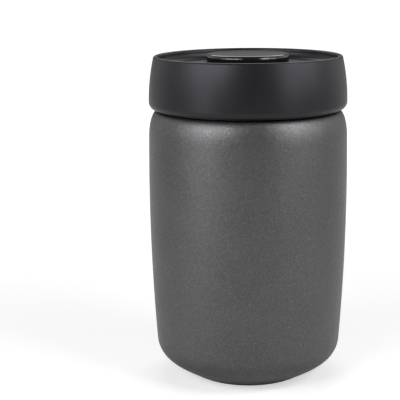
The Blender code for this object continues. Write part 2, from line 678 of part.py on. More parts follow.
def ramp_mesh(name):
    """The cam's rising track, from nothing under the stem to the full lift a turn away."""
    inner = (WELL_RADIUS + GUIDE_RADIUS) / 2
    base = CAM_Z + RING_FLANGE / 2
    angles = [RELEASE_ANGLE - RELEASE_TURN * i / RAMP_STEPS for i in range(RAMP_STEPS + 1)]
    angles.append(RELEASE_ANGLE - RELEASE_TURN - RAMP_PAST)
    bm = bmesh.new()
    rows = []
    for i, angle in enumerate(angles):
        height = CAM_TOP_Z + RELEASE_LIFT * min(i / RAMP_STEPS, 1)
        row = []
        for radius, z in (
            (inner, base), (RING_FLANGE_RADIUS, base), (RING_FLANGE_RADIUS, height), (inner, height)
        ):
            row.append(bm.verts.new((*on_circle(radius, angle), z)))
        rows.append(row)
    for first, second in zip(rows, rows[1:]):
        for i in range(4):
            j = (i + 1) % 4
            bm.faces.new((first[i], first[j], second[j], second[i]))
    bm.faces.new(rows[0])
    bm.faces.new(rows[-1])
    return finish_mesh(name, bm)


def make_release_ring(turning):
    profile = [
        (WELL_RADIUS, RING_TOP_Z), (GUIDE_RADIUS, RING_TOP_Z), (GUIDE_RADIUS, CAM_TOP_Z),
        (RING_FLANGE_RADIUS, CAM_TOP_Z), (RING_FLANGE_RADIUS, CAM_Z), (GUIDE_RADIUS, CAM_Z),
        (GUIDE_RADIUS, RING_Z), (WELL_RADIUS, RING_Z),
    ]
    ring = add_turned("release_ring", profile, GREY_NYLON, turning)
    fuse(ring, helper("cam_ramp", ramp_mesh("ramp")))
    half = KEY_WIDTH / 2
    key = box_mesh(
        "key",
        (WELL_RADIUS - KEY_DEPTH, -half, RING_Z + RING_FLANGE / 2),
        (WELL_RADIUS + GUIDE_WALL / 2, half, KEY_TOP_Z),
    )
    for i, angle in enumerate(around(KEYS)):
        fuse(ring, helper(f"ring_key_{i}", key, turn=angle))


def make_release_valve(lid, lifting):
    """The stem that the cam lifts off its vent, its seal and its spring."""
    seal_top = RELEASE_SEAL_Z + RELEASE_SEAL_HEIGHT
    collar_top = COLLAR_Z + COLLAR_HEIGHT
    foot_radius = RELEASE_SEAL_RADIUS - SEAT_GAP
    profile = [
        (0, collar_top + STEM_TIP), (STEM_RADIUS, collar_top + STEM_TIP),
        (STEM_RADIUS, collar_top), (COLLAR_RADIUS, collar_top), (COLLAR_RADIUS, COLLAR_Z),
        (STEM_RADIUS, COLLAR_Z), (STEM_RADIUS, STEM_FOOT_TOP_Z), (foot_radius, STEM_FOOT_TOP_Z),
        (foot_radius, STEM_FOOT_Z), (0, STEM_FOOT_Z),
    ]
    add_turned("release_stem", profile, WHITE_ACETAL, lifting, STEM_PLACE, SMALL_SIDES)
    seal = [(0, seal_top), (RELEASE_SEAL_RADIUS, seal_top)]
    seal += [(RELEASE_SEAL_RADIUS, RELEASE_SEAL_Z), (0, RELEASE_SEAL_Z)]
    add_turned("release_seal", seal, BLACK_SILICONE, lifting, STEM_PLACE, SMALL_SIDES)
    helix(
        "release_spring", SMALL_SPRING_RADIUS, SMALL_WIRE_RADIUS, collar_top + SEAT_GAP,
        RECESS_UNDER_Z - SEAT_GAP, SMALL_SPRING_TURNS, lid, STEM_PLACE,
    )


def make_button_cap(pressing):
    edge = BUTTON_EDGE_RADIUS
    ring = BUTTON_RADIUS - edge - BUTTON_RING_WIDTH
    catch = SKIRT_BORE - BUTTON_CATCH
    under = CORE_UNDER_Z - SEAT_GAP
    profile = [(0, BUTTON_TOP_Z - BUTTON_DISH_DEPTH)]
    profile.append((ring - BUTTON_RING_WIDTH, BUTTON_TOP_Z - BUTTON_DISH_STEP))
    profile.append((ring, BUTTON_TOP_Z))
    profile += arc((BUTTON_RADIUS - edge, BUTTON_TOP_Z - edge), (edge, edge), 90, 0, BUTTON_EDGE_STEPS)
    profile += [(BUTTON_RADIUS, SKIRT_Z), (SKIRT_BORE, SKIRT_Z)]
    profile += [(SKIRT_BORE, under - 3 * BUTTON_CATCH), (catch, under - 2 * BUTTON_CATCH)]
    profile += [(catch, under - BUTTON_CATCH), (SKIRT_BORE, under)]
    profile += [(SKIRT_BORE, DECK_UNDER_Z), (0, DECK_UNDER_Z)]
    cap = add_turned("button_cap", profile, GLOSS_BLACK, pressing)
    half = KEY_WIDTH / 2 + KEY_CLEARANCE
    slot = box_mesh(
        "slot",
        (SKIRT_BORE - BUTTON_CATCH, -half, SKIRT_Z - KEY_ENGAGEMENT),
        (BUTTON_RADIUS + BUTTON_WALL, half, SLOT_TOP_Z),
    )
    for i, angle in enumerate(around(KEYS)):
        cut(cap, helper(f"key_slot_{i}", slot, turn=angle))


def make_button_core(pressing):
    low = PISTON_TOP_Z + SEAT_GAP
    floor = low + ROD_FLOOR
    hole = SCREW_RADIUS + SEAT_GAP
    plate = SKIRT_BORE - SEAT_GAP
    profile = [
        (ROD_BORE, CORE_TOP_Z), (plate, CORE_TOP_Z), (plate, CORE_UNDER_Z),
        (ROD_RADIUS, CORE_UNDER_Z), (ROD_RADIUS, low), (hole, low), (hole, floor), (ROD_BORE, floor),
    ]
    add_turned("button_core", profile, MOULDED_BLACK, pressing)
    seat = floor + SEAT_GAP
    length = seat - PISTON_Z - PISTON_DISC
    add_screw("piston_screw", seat, length, pressing)


def make_piston(pressing):
    groove = PISTON_RADIUS - PISTON_GROOVE
    low, top = PISTON_Z, PISTON_TOP_Z
    hole = SCREW_RADIUS + SEAT_GAP
    blind = low + PISTON_DISC - SEAT_GAP
    profile = [
        (hole, top), (PISTON_RADIUS, top), (PISTON_RADIUS, top - PISTON_DISC),
        (groove, top - PISTON_DISC), (groove, low + PISTON_DISC), (PISTON_RADIUS, low + PISTON_DISC),
        (PISTON_RADIUS, low), (0, low), (0, blind), (hole, blind),
    ]
    add_turned("piston", profile, WHITE_ACETAL, pressing)
    inner = groove + SEAT_GAP
    seal_low = low + PISTON_DISC + SEAT_GAP
    seal_top = top - PISTON_DISC - SEAT_GAP
    tip = BORE_RADIUS - SEAT_GAP
    third = (seal_top - seal_low) / 3
    seal = [
        (inner, seal_low + 2 * third), (inner, seal_low), (PISTON_RADIUS - PISTON_GROOVE / 3, seal_low),
        (tip, seal_top), (tip - third, seal_top), (PISTON_RADIUS - PISTON_GROOVE / 2, seal_low + third),
    ]
    add_turned("piston_seal", seal, BLACK_SILICONE, pressing)


def make_return_spring(lid):
    low = FLOOR_TOP_Z + SEAT_GAP
    high = CORE_UNDER_Z - SEAT_GAP
    radius = SPRING_OUTER - WIRE_RADIUS
    helix("return_spring", radius, WIRE_RADIUS, low, high, SPRING_TURNS, lid)


def main():
    clear_scene()
    make_body()
    lid = add_axis("lid_group")
    turning = add_axis("release_group", lid)
    pressing = add_axis("button_group", turning)
    lifting = add_axis("stem_group", lid)
    make_lid_shell(lid)
    make_lid_base(lid)
    make_gasket(lid)
    make_filter(lid)
    make_cylinder(lid)
    make_pump_trim(lid)
    make_cylinder_screws(lid)
    make_release_ring(turning)
    make_release_valve(lid, lifting)
    make_button_cap(pressing)
    make_button_core(pressing)
    make_piston(pressing)
    make_return_spring(lid)


main()
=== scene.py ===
"""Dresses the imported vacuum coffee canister: finer pieces, finishes, soft light and a camera.

Metres, +Z up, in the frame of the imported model. Sizes are fields of the class of each
sub-assembly, and match the solids that the pieces stand for.
"""

import json
import logging
from collections.abc import Callable, Mapping, Sequence
from dataclasses import dataclass, field
from enum import Enum
from math import atan2, cos, degrees, hypot, pi, radians, sin, sqrt, tan, tau

import bmesh
import bpy
from mathutils import Matrix, Vector
from mathutils.geometry import interpolate_bezier

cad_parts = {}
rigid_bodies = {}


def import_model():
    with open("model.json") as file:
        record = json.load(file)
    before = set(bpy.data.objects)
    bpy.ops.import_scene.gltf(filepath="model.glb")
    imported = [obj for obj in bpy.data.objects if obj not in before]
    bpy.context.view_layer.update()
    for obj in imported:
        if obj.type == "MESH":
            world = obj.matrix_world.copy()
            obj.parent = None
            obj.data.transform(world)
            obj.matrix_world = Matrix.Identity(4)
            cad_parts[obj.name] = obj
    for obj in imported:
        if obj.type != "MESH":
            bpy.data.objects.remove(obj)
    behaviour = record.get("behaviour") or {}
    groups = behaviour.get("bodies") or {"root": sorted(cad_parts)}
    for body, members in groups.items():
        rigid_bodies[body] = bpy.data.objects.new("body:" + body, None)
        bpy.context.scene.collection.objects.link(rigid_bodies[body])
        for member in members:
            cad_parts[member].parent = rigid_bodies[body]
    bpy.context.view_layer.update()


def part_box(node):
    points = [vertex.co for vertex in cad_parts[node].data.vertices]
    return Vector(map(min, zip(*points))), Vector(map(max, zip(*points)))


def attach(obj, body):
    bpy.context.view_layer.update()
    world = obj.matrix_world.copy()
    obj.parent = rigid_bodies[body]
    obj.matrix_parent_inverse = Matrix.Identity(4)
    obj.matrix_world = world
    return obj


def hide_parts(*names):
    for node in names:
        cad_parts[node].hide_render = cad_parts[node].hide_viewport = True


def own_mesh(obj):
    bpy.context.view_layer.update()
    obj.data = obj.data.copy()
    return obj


for leftover in list(bpy.data.objects):
    bpy.data.objects.remove(leftover)
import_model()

log = logging.getLogger("canister")

Point = tuple[float, float]
Colour = tuple[float, float, float]
Object = bpy.types.Object


class Sides(Enum):
    """How many sides a round piece is turned with."""

    BROAD = 144
    MEDIUM = 96
    SMALL = 48
    FINE = 24


class Shading(Enum):
    """The sharpest angle between faces, in degrees, that is shaded smooth."""

    HARD = 32.0
    SOFT = 50.0
    ROUND = 60.0


class Cut(Enum):
    """What a Boolean does with its tool."""

    AWAY = "DIFFERENCE"
    JOIN = "UNION"


@dataclass(frozen=True)
class Corner:
    """A point of a turned section, and the radius that rounds it off."""

    radius: float
    height: float
    rounding: float = 0.0


# Sections


def arc(centre: Point, radii: Point, start: float, end: float, steps: int) -> list[Corner]:
    """Points of an elliptic arc.

    Args:
        centre: its centre as (radius, height).
        radii: its half widths across and up.
        start: the first angle in degrees, anticlockwise from straight out.
        end: the last angle in degrees.
        steps: how many straight steps make the arc.

    Returns:
        One corner per point, both ends included.
    """
    corners = []
    for i in range(steps + 1):
        angle = radians(start + (end - start) * i / steps)
        corners.append(Corner(centre[0] + radii[0] * cos(angle), centre[1] + radii[1] * sin(angle)))
    return corners


def inset(line: Sequence[Corner], depth: float) -> list[Corner]:
    """Moves an open line of corners to its right-hand side.

    Args:
        line: the corners in order.
        depth: how far each face moves, with mitred corners.

    Returns:
        The moved corners, in the same order.
    """
    ways = []
    for near, far in zip(line, line[1:]):
        length = hypot(far.radius - near.radius, far.height - near.height)
        ways.append(((far.radius - near.radius) / length, (far.height - near.height) / length))
    moved = []
    for i, corner in enumerate(line):
        before, after = ways[max(i - 1, 0)], ways[min(i, len(ways) - 1)]
        normal = Vector((before[1] + after[1], -before[0] - after[0])).normalized()
        reach = depth / (normal.x * after[1] - normal.y * after[0])
        moved.append(
            Corner(max(corner.radius + normal.x * reach, 0.0), corner.height + normal.y * reach)
        )
    return moved


def around(count: int, start: float = 0.0) -> list[float]:
    """Evenly spaced angles round the axis, in radians."""
    return [start + tau * i / count for i in range(count)]


def on_circle(radius: float, angle: float) -> Point:
    """The point at an angle on a circle round the axis."""
    return (radius * cos(angle), radius * sin(angle))


# Modelling with the operators


class Bench:
    """Holds one object in hand and shapes it with Blender's modelling operators."""

    # Corners that are closer than this are merged.
    WELD = 1e-6
    # A face whose normal's height is below this looks down.
    DOWN = -0.9
    EASED_STEPS = 2
    ROUND_STEPS = 8
    # How much of a half width a rounded end takes up, so that its two rounds stay apart.
    ROUND_SHARE = 0.98

    def __init__(self, obj: Object) -> None:
        """Takes the object that a primitive has just made."""
        self.obj = obj

    @staticmethod
    def clear() -> None:
        """Leaves nothing selected, so that an operator acts on what comes next alone."""
        if bpy.context.object is not None and bpy.context.object.mode != "OBJECT":
            bpy.ops.object.mode_set(mode="OBJECT")
        bpy.ops.object.select_all(action="DESELECT")

    @classmethod
    def circle(cls, radius: float, place: Sequence[float], sides: Sides) -> "Bench":
        """Starts from an open circle.

        Args:
            radius: its radius.
            place: its centre.
            sides: how many sides it has.

        Returns:
            The bench, in edit mode with the circle selected.
        """
        cls.clear()
        bpy.ops.mesh.primitive_circle_add(
            vertices=sides.value, radius=radius, location=place, enter_editmode=True
        )
        bpy.ops.mesh.select_mode(type="EDGE")
        bpy.ops.mesh.select_all(action="SELECT")
        return cls(bpy.context.object)

    @classmethod
    def box(cls, low: Sequence[float], high: Sequence[float]) -> "Bench":
        """Starts from a box between two corners.

        Args:
            low: its lowest corner.
            high: its highest corner.

        Returns:
            The bench, in object mode.
        """
        cls.clear()
        centre = [(a + b) / 2 for a, b in zip(low, high)]
        bpy.ops.mesh.primitive_cube_add(size=1, location=centre)
        bench = cls(bpy.context.object)
        bench.obj.scale = [b - a for a, b in zip(low, high)]
        bench.settle()
        return bench

    @classmethod
    def rod(cls, radius: float, low: float, high: float, place: Point, sides: Sides) -> "Bench":
        """Starts from an upright rod.

        Args:
            radius: its radius.
            low: the height of its lower end.
            high: the height of its upper end.
            place: where its axis stands.
            sides: how many sides it has.

        Returns:
            The bench, in object mode.
        """
        cls.clear()
        bpy.ops.mesh.primitive_cylinder_add(
            vertices=sides.value, radius=radius, depth=high - low,
            location=(*place, (low + high) / 2),
        )
        bench = cls(bpy.context.object)
        bench.settle()
        return bench

    def hold(self) -> None:
        """Takes this object alone in hand."""
        self.clear()
        self.obj.select_set(True)
        bpy.context.view_layer.objects.active = self.obj

    def settle(self) -> None:
        """Puts the object's place, turn and scale into its mesh."""
        self.hold()
        bpy.ops.object.transform_apply(location=True, rotation=True, scale=True)

    def modify(self, kind: str, **settings: object) -> None:
        """Adds a modifier to the object in hand, sets it and applies it.

        Args:
            kind: the modifier's type.
            settings: its own properties.
        """
        bpy.ops.object.modifier_add(type=kind)
        modifier = self.obj.modifiers[-1]
        for name, setting in settings.items():
            setattr(modifier, name, setting)
        bpy.ops.object.modifier_apply(modifier=modifier.name)

    def edit(self) -> None:
        """Goes into edit mode with this object alone in hand."""
        self.hold()
        bpy.ops.object.mode_set(mode="EDIT")
        bpy.ops.mesh.select_all(action="DESELECT")

    def pick_edges(self, wanted: Callable[[Vector, Vector], bool]) -> None:
        """Selects the edges whose two ends are wanted."""
        bpy.ops.mesh.select_mode(type="EDGE")
        bpy.ops.mesh.select_all(action="DESELECT")
        shape = bmesh.from_edit_mesh(self.obj.data)
        for edge in shape.edges:
            if wanted(edge.verts[0].co, edge.verts[1].co):
                edge.select_set(True)
        bmesh.update_edit_mesh(self.obj.data)

    def pick_lowest(self) -> None:
        """Selects the faces that look down."""
        bpy.ops.mesh.select_mode(type="FACE")
        bpy.ops.mesh.select_all(action="DESELECT")
        shape = bmesh.from_edit_mesh(self.obj.data)
        for face in shape.faces:
            if face.normal.z < self.DOWN:
                face.select_set(True)
        bmesh.update_edit_mesh(self.obj.data)

    def bevel(self, width: float, segments: int) -> None:
        """Rounds off the selected edges."""
        bpy.ops.mesh.bevel(
            offset=width, segments=segments, profile=0.5, affect="EDGES", clamp_overlap=True
        )

    def weld(self) -> None:
        """Merges the corners that coincide, in edit mode, and turns all faces outwards."""
        bpy.ops.mesh.select_all(action="SELECT")
        bpy.ops.mesh.remove_doubles(threshold=self.WELD)
        bpy.ops.mesh.normals_make_consistent(inside=False)

    def close_ends(self) -> None:
        """Closes the open ends, in edit mode, and turns all faces outwards."""
        bpy.ops.mesh.select_mode(type="EDGE")
        bpy.ops.mesh.select_all(action="DESELECT")
        bpy.ops.mesh.select_non_manifold(extend=False)
        bpy.ops.mesh.edge_face_add()
        bpy.ops.mesh.select_all(action="SELECT")
        bpy.ops.mesh.normals_make_consistent(inside=False)

    def combine(self, tool: "Bench", cut: Cut) -> None:
        """Joins or cuts away another solid, which is used up.

        Args:
            tool: the solid.
            cut: what is done with it.
        """
        self.hold()
        self.modify("BOOLEAN", operation=cut.value, solver="EXACT", object=tool.obj)
        bpy.data.objects.remove(tool.obj)

    def repeat(self, tool: "Bench", angles: Sequence[float], cut: Cut) -> None:
        """Joins or cuts away turned copies of another solid, which is used up.

        Args:
            tool: the solid.
            angles: how far each copy is turned about the main axis.
            cut: what is done with the copies.
        """
        for angle in angles:
            self.combine(tool.copy().turn(angle), cut)
        bpy.data.objects.remove(tool.obj)

    def drill(
        self, radius: float, low: float, high: float, places: Sequence[Point], sides: Sides
    ) -> None:
        """Cuts upright round holes.

        Args:
            radius: their radius.
            low: the height that they start from.
            high: the height that they reach.
            places: where their axes stand.
            sides: how many sides they have.
        """
        for place in places:
            self.combine(Bench.rod(radius, low, high, place, sides), Cut.AWAY)

    def turn(self, angle: float) -> "Bench":
        """Turns the object about the main axis, in its mesh, and returns the bench."""
        self.obj.data.transform(Matrix.Rotation(angle, 4, "Z"))
        return self

    def shift(self, x: float, y: float) -> "Bench":
        """Moves the object sideways, in its mesh, and returns the bench."""
        self.obj.data.transform(Matrix.Translation((x, y, 0)))
        return self

    def ease(self, width: float) -> "Bench":
        """Rounds off all its edges a little, and returns the bench."""
        self.edit()
        self.pick_edges(lambda one, other: True)
        self.bevel(width, self.EASED_STEPS)
        self.clear()
        return self

    def round_ends(self, radius: float) -> "Bench":
        """Rounds off its upright edges, and returns the bench."""
        self.edit()
        self.pick_edges(lambda one, other: abs(one.z - other.z) > radius)
        self.bevel(radius * self.ROUND_SHARE, self.ROUND_STEPS)
        self.clear()
        return self

    def taper(self, share: float) -> "Bench":
        """Narrows its lowest face to a share of its size, and returns the bench."""
        self.edit()
        self.pick_lowest()
        bpy.ops.transform.resize(value=(share, share, 1), center_override=(0, 0, 0))
        self.clear()
        return self

    def copy(self) -> "Bench":
        """A copy with its own mesh."""
        twin = self.obj.copy()
        twin.data = self.obj.data.copy()
        bpy.context.scene.collection.objects.link(twin)
        return Bench(twin)

    def finish(self, name: str, shading: Shading = Shading.HARD) -> Object:
        """Names the piece and shades it smooth, with its flat faces kept flat.

        Args:
            name: the piece's name.
            shading: how sharp an edge is shaded smooth.

        Returns:
            The finished object, at the origin.
        """
        self.settle()
        bpy.ops.object.shade_smooth_by_angle(angle=radians(shading.value))
        self.modify("WEIGHTED_NORMAL", keep_sharp=True)
        self.obj.name = name
        self.obj.data.name = name
        self.clear()
        return self.obj


class Lathe:
    """Turns a section about an upright axis, ring by ring."""

    # How near an edge's end is to a corner whose ring it lies on.
    SAME = 2e-5

    def __init__(self, sides: Sides, place: Point = (0.0, 0.0)) -> None:
        """Sets how many sides the piece gets and where its axis stands."""
        self.sides = sides
        self.place = place

    def turn(self, section: Sequence[Corner], segments: int = 3) -> Bench:
        """Extrudes a circle through the corners of a section.

        Args:
            section: the corners in order. A corner on the axis closes its end; without
                one the last ring meets the first.
            segments: how many steps round each corner off.

        Returns:
            The bench with the closed piece, in object mode.
        """
        rings = [corner for corner in section if corner.radius > 0]
        first, last = rings[0], rings[-1]
        bench = Bench.circle(first.radius, (*self.place, first.height), self.sides)
        for before, after in zip(rings, rings[1:]):
            self._extrude(before, after)
        if section[-1].radius == 0:
            self._close(last, section[-1].height)
        if section[0].radius > 0 and section[-1].radius > 0:
            self._extrude(last, first)
        bench.settle()
        bench.edit()
        if section[0].radius == 0:
            self._pick_rings(bench, [first])
            self._close(first, section[0].height)
        bench.weld()
        for rounding in sorted({corner.rounding for corner in rings if corner.rounding > 0}):
            self._pick_rings(bench, [corner for corner in rings if corner.rounding == rounding])
            bench.bevel(rounding, segments)
        bench.clear()
        return bench

    def _extrude(self, before: Corner, after: Corner) -> None:
        """Extrudes the selected ring at one corner to the next."""
        bpy.ops.mesh.extrude_region_move(
            TRANSFORM_OT_translate={"value": (0, 0, after.height - before.height)}
        )
        scale = after.radius / before.radius
        bpy.ops.transform.resize(
            value=(scale, scale, 1), center_override=(*self.place, after.height)
        )

    def _close(self, ring: Corner, height: float) -> None:
        """Closes the selected ring in one point of the axis."""
        bpy.ops.mesh.extrude_region_move(
            TRANSFORM_OT_translate={"value": (0, 0, height - ring.height)}
        )
        bpy.ops.mesh.merge(type="CENTER")

    def _pick_rings(self, bench: Bench, corners: Sequence[Corner]) -> None:
        """Selects the rings of edges that lie on the given corners."""

        def on_ring(end: Vector) -> Corner | None:
            """The corner whose ring an end of an edge lies on."""
            reach = hypot(end.x - self.place[0], end.y - self.place[1])
            for corner in corners:
                if abs(end.z - corner.height) < self.SAME and abs(reach - corner.radius) < self.SAME:
                    return corner
            return None

        def wanted(one: Vector, other: Vector) -> bool:
            """Whether both ends of an edge lie on the same ring."""
            corner = on_ring(one)
            return corner is not None and corner is on_ring(other)

        bench.pick_edges(wanted)


@dataclass(frozen=True)
class Coil:
    """A compression spring with a closed turn at each end. Its radius is to its wire's middle."""

    radius: float
    wire: float
    low: float
    high: float
    turns: int
    place: Point = (0.0, 0.0)
    closed_gap: float = 0.0004
    steps: int = 40

    def climb(self, turn: float) -> float:
        """How high above its start the wire is after a number of turns."""
        closed = 2 * self.wire + self.closed_gap
        live = (self.high - self.low - 2 * self.wire - 2 * closed) / (self.turns - 2)
        height = closed * min(turn, 1.0) + live * min(max(turn - 1.0, 0.0), self.turns - 2)
        return height + closed * max(turn - self.turns + 1.0, 0.0)

    def wind(self) -> Bench:
        """Winds the wire evenly, then sets its turns as far apart as they should be."""
        bottom = self.low + self.wire
        pitch = (self.high - self.low - 2 * self.wire) / self.turns
        bench = Bench.circle(self.wire, (0, 0, 0), Sides.FINE)
        bench.clear()
        turned = Matrix.Translation((self.radius, 0, bottom)) @ Matrix.Rotation(pi / 2, 4, "X")
        bench.obj.data.transform(turned)
        bench.hold()
        bench.modify(
            "SCREW", screw_offset=pitch, iterations=self.turns, steps=self.steps,
            render_steps=self.steps,
        )
        for vert in bench.obj.data.vertices:
            share = (atan2(vert.co.y, vert.co.x) / tau) % 1.0
            turn = share + round((vert.co.z - bottom) / pitch - share)
            turn = min(max(turn, 0.0), float(self.turns))
            vert.co.z += self.climb(turn) - pitch * turn
        bench.shift(*self.place)
        bench.edit()
        bench.close_ends()
        bench.clear()
        return bench


# Shader maths


class Value:
    """One output socket of a node, so that shader maths reads as Python."""

    def __init__(self, graph: "Graph", socket: bpy.types.NodeSocket) -> None:
        """Wraps a socket of a graph."""
        self.graph = graph
        self.socket = socket

    def __add__(self, other: "Value | float") -> "Value":
        """Adds a value or number."""
        return self.graph.math("ADD", self, other)

    __radd__ = __add__

    def __mul__(self, other: "Value | float") -> "Value":
        """Multiplies by a value or number."""
        return self.graph.math("MULTIPLY", self, other)

    __rmul__ = __mul__

    def __sub__(self, other: "Value | float") -> "Value":
        """Takes a value or number away."""
        return self.graph.math("SUBTRACT", self, other)

    def __rsub__(self, other: float) -> "Value":
        """Takes this value away from a number."""
        return self.graph.math("SUBTRACT", other, self)

    def __pow__(self, other: float) -> "Value":
        """Raises to a power."""
        return self.graph.math("POWER", self, other)

    def between(self, low: float, high: float) -> "Value":
        """Rises smoothly from 0 at low to 1 at high."""
        return self.graph.node(
            "ShaderNodeMapRange", {"interpolation_type": "SMOOTHSTEP"},
            {"Value": self, "From Min": low, "From Max": high},
        )["Result"]


class Outputs:
    """The outputs of one node, by name."""

    def __init__(self, graph: "Graph", node: bpy.types.Node) -> None:
        """Wraps a node of a graph."""
        self.graph = graph
        self.node = node

    def __getitem__(self, name: str) -> Value:
        """The output socket that has this identifier or name."""
        for socket in self.node.outputs:
            if name in (socket.identifier, socket.name):
                return Value(self.graph, socket)
        raise KeyError(name)


Link = Value | float | Sequence[float]


@dataclass(frozen=True)
class Grain:
    """A layer of noise: how many metres across its lumps are, and how much it counts."""

    size: float
    detail: float = 2.0
    rough: float = 0.5
    weight: float = 0.5


class Graph:
    """The node tree of a material or the world, built by expressions."""

    def __init__(self, tree: bpy.types.NodeTree) -> None:
        """Takes an empty or a new tree."""
        self.tree = tree

    def node(
        self, kind: str, settings: Mapping[str, object] | None = None,
        sockets: Mapping[str, Link] | None = None,
    ) -> Outputs:
        """Adds a node.

        Args:
            kind: its type.
            settings: its own properties, which are set first.
            sockets: the values or links of its inputs, by identifier or name.

        Returns:
            The node's outputs.
        """
        node = self.tree.nodes.new(kind)
        for name, setting in (settings or {}).items():
            setattr(node, name, setting)
        self.feed(node, sockets or {})
        return Outputs(self, node)

    def set(self, socket: bpy.types.NodeSocket, link: Link) -> None:
        """Links an input to a value, or sets it."""
        if isinstance(link, Value):
            self.tree.links.new(link.socket, socket)
        else:
            socket.default_value = link

    def feed(self, node: bpy.types.Node, sockets: Mapping[str, Link]) -> None:
        """Sets or links the inputs of a node, each by its identifier or name."""
        for name, link in sockets.items():
            for socket in node.inputs:
                if name in (socket.identifier, socket.name):
                    self.set(socket, link)
                    break
            else:
                raise KeyError(name)

    def math(self, operation: str, one: Link, other: Link) -> Value:
        """A Math node on two values or numbers."""
        node = self.node("ShaderNodeMath", {"operation": operation})
        self.tree.nodes.update()
        for socket, link in zip(node.node.inputs, (one, other)):
            self.set(socket, link)
        return node["Value"]

    def place(self) -> Value:
        """Object coordinates, in metres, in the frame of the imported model."""
        return self.node("ShaderNodeTexCoord")["Object"]

    def parts(self, vector: Value) -> tuple[Value, Value, Value]:
        """The three parts of a vector."""
        split = self.node("ShaderNodeSeparateXYZ", None, {"Vector": vector})
        return split["X"], split["Y"], split["Z"]

    def vector(self, x: Link, y: Link, z: Link) -> Value:
        """A vector from three values or numbers."""
        return self.node("ShaderNodeCombineXYZ", None, {"X": x, "Y": y, "Z": z})["Vector"]

    def noise(self, where: Value, grain: Grain) -> Value:
        """Noise of a grain, about as far below 0 as above it."""
        looks = {"Scale": 1 / grain.size, "Detail": grain.detail, "Roughness": grain.rough}
        return self.node(
            "ShaderNodeTexNoise", {"noise_dimensions": "3D"}, {"Vector": where, **looks}
        )["Fac"] - 0.5

    def flakes(self, where: Value, size: float) -> Value:
        """A random grey for each small cell, size metres across."""
        cells = self.node(
            "ShaderNodeTexVoronoi", {"feature": "F1"}, {"Vector": where, "Scale": 1 / size}
        )["Color"]
        return self.node("ShaderNodeSeparateColor", None, {"Color": cells})["Red"]

    def mixed(self, share: Link, one: Link, other: Link) -> Value:
        """A colour between two colours."""
        return self.node(
            "ShaderNodeMix", {"data_type": "RGBA"},
            {"Factor_Float": share, "A_Color": one, "B_Color": other},
        )["Result_Color"]

    def bump(self, height: Value, depth: float, under: Value | None = None) -> Value:
        """A normal from a height field whose full range is depth metres."""
        sockets: dict[str, Link] = {"Strength": 1.0, "Distance": depth, "Height": height}
        if under is not None:
            sockets["Normal"] = under
        return self.node("ShaderNodeBump", None, sockets)["Normal"]


WHITE: Colour = (1.0, 1.0, 1.0)


def rgb(colour: Colour, gain: float = 1.0) -> tuple[float, float, float, float]:
    """A colour socket's value from a colour times a gain."""
    return (colour[0] * gain, colour[1] * gain, colour[2] * gain, 1.0)


# Finishes


@dataclass(frozen=True)
class Finish:
    """A plain finish: one colour and one roughness, which each kind adds its detail to."""

    name: str
    slot: str
    colour: Colour
    roughness: float
    dark: float = 0.9
    light: float = 1.1
    margin: float = 0.1
    relief: float = 0.000010

    def material(self) -> bpy.types.Material:
        """The finish as a material, made once and shared by the pieces that wear it."""
        found = bpy.data.materials.get(self.name)
        if found is not None:
            return found
        made = bpy.data.materials.new(self.name)
        made.use_nodes = True
        graph = Graph(made.node_tree)
        shader = made.node_tree.nodes["Principled BSDF"]
        graph.feed(shader, {"Base Color": rgb(self.colour), "Roughness": self.roughness})
        self.detail(graph, shader)
        return made

    def detail(self, graph: Graph, shader: bpy.types.Node) -> None:
        """Adds what this finish has beyond its colour and roughness."""

    def shades(self, graph: Graph, tone: Value) -> Value:
        """The colour, from its dark shade where the tone is near 0 to its light one near 1."""
        share = tone.between(self.margin, 1 - self.margin)
        return graph.mixed(share, rgb(self.colour, self.dark), rgb(self.colour, self.light))


@dataclass(frozen=True)
class PowderCoat(Finish):
    """Gunmetal powder coat: fine grain, orange peel and metal flakes."""

    dark: float = 0.78
    light: float = 1.22
    margin: float = 0.0
    relief: float = 0.00014
    fine: Grain = Grain(0.00085, 3.0, 0.6, 1.2)
    peel: Grain = Grain(0.0020)
    cloud: Grain = Grain(0.03, 1.0, weight=0.3)
    peel_relief: float = 0.00006
    peel_roughness: float = 0.14
    metallic: float = 0.88
    flake: float = 0.00050
    flake_share: float = 0.14
    flake_gain: float = 2.0
    flake_strength: float = 0.4
    flake_polish: float = 0.11

    def detail(self, graph: Graph, shader: bpy.types.Node) -> None:
        """Adds the grain to the colour, the roughness and the surface."""
        where = graph.place()
        fine, peel = graph.noise(where, self.fine), graph.noise(where, self.peel)
        cloud = graph.noise(where, self.cloud)
        bright = graph.flakes(where, self.flake).between(1 - self.flake_share, 1.0)
        tone = fine * self.fine.weight + peel * self.peel.weight + cloud * self.cloud.weight + 0.5
        sparkle = rgb(self.colour, self.flake_gain)
        graph.feed(shader, {
            "Base Color": graph.mixed(bright * self.flake_strength, self.shades(graph, tone), sparkle),
            "Metallic": self.metallic,
            "Roughness": self.roughness + peel * self.peel_roughness - bright * self.flake_polish,
            "Normal": graph.bump(fine, self.relief, graph.bump(peel, self.peel_relief)),
        })


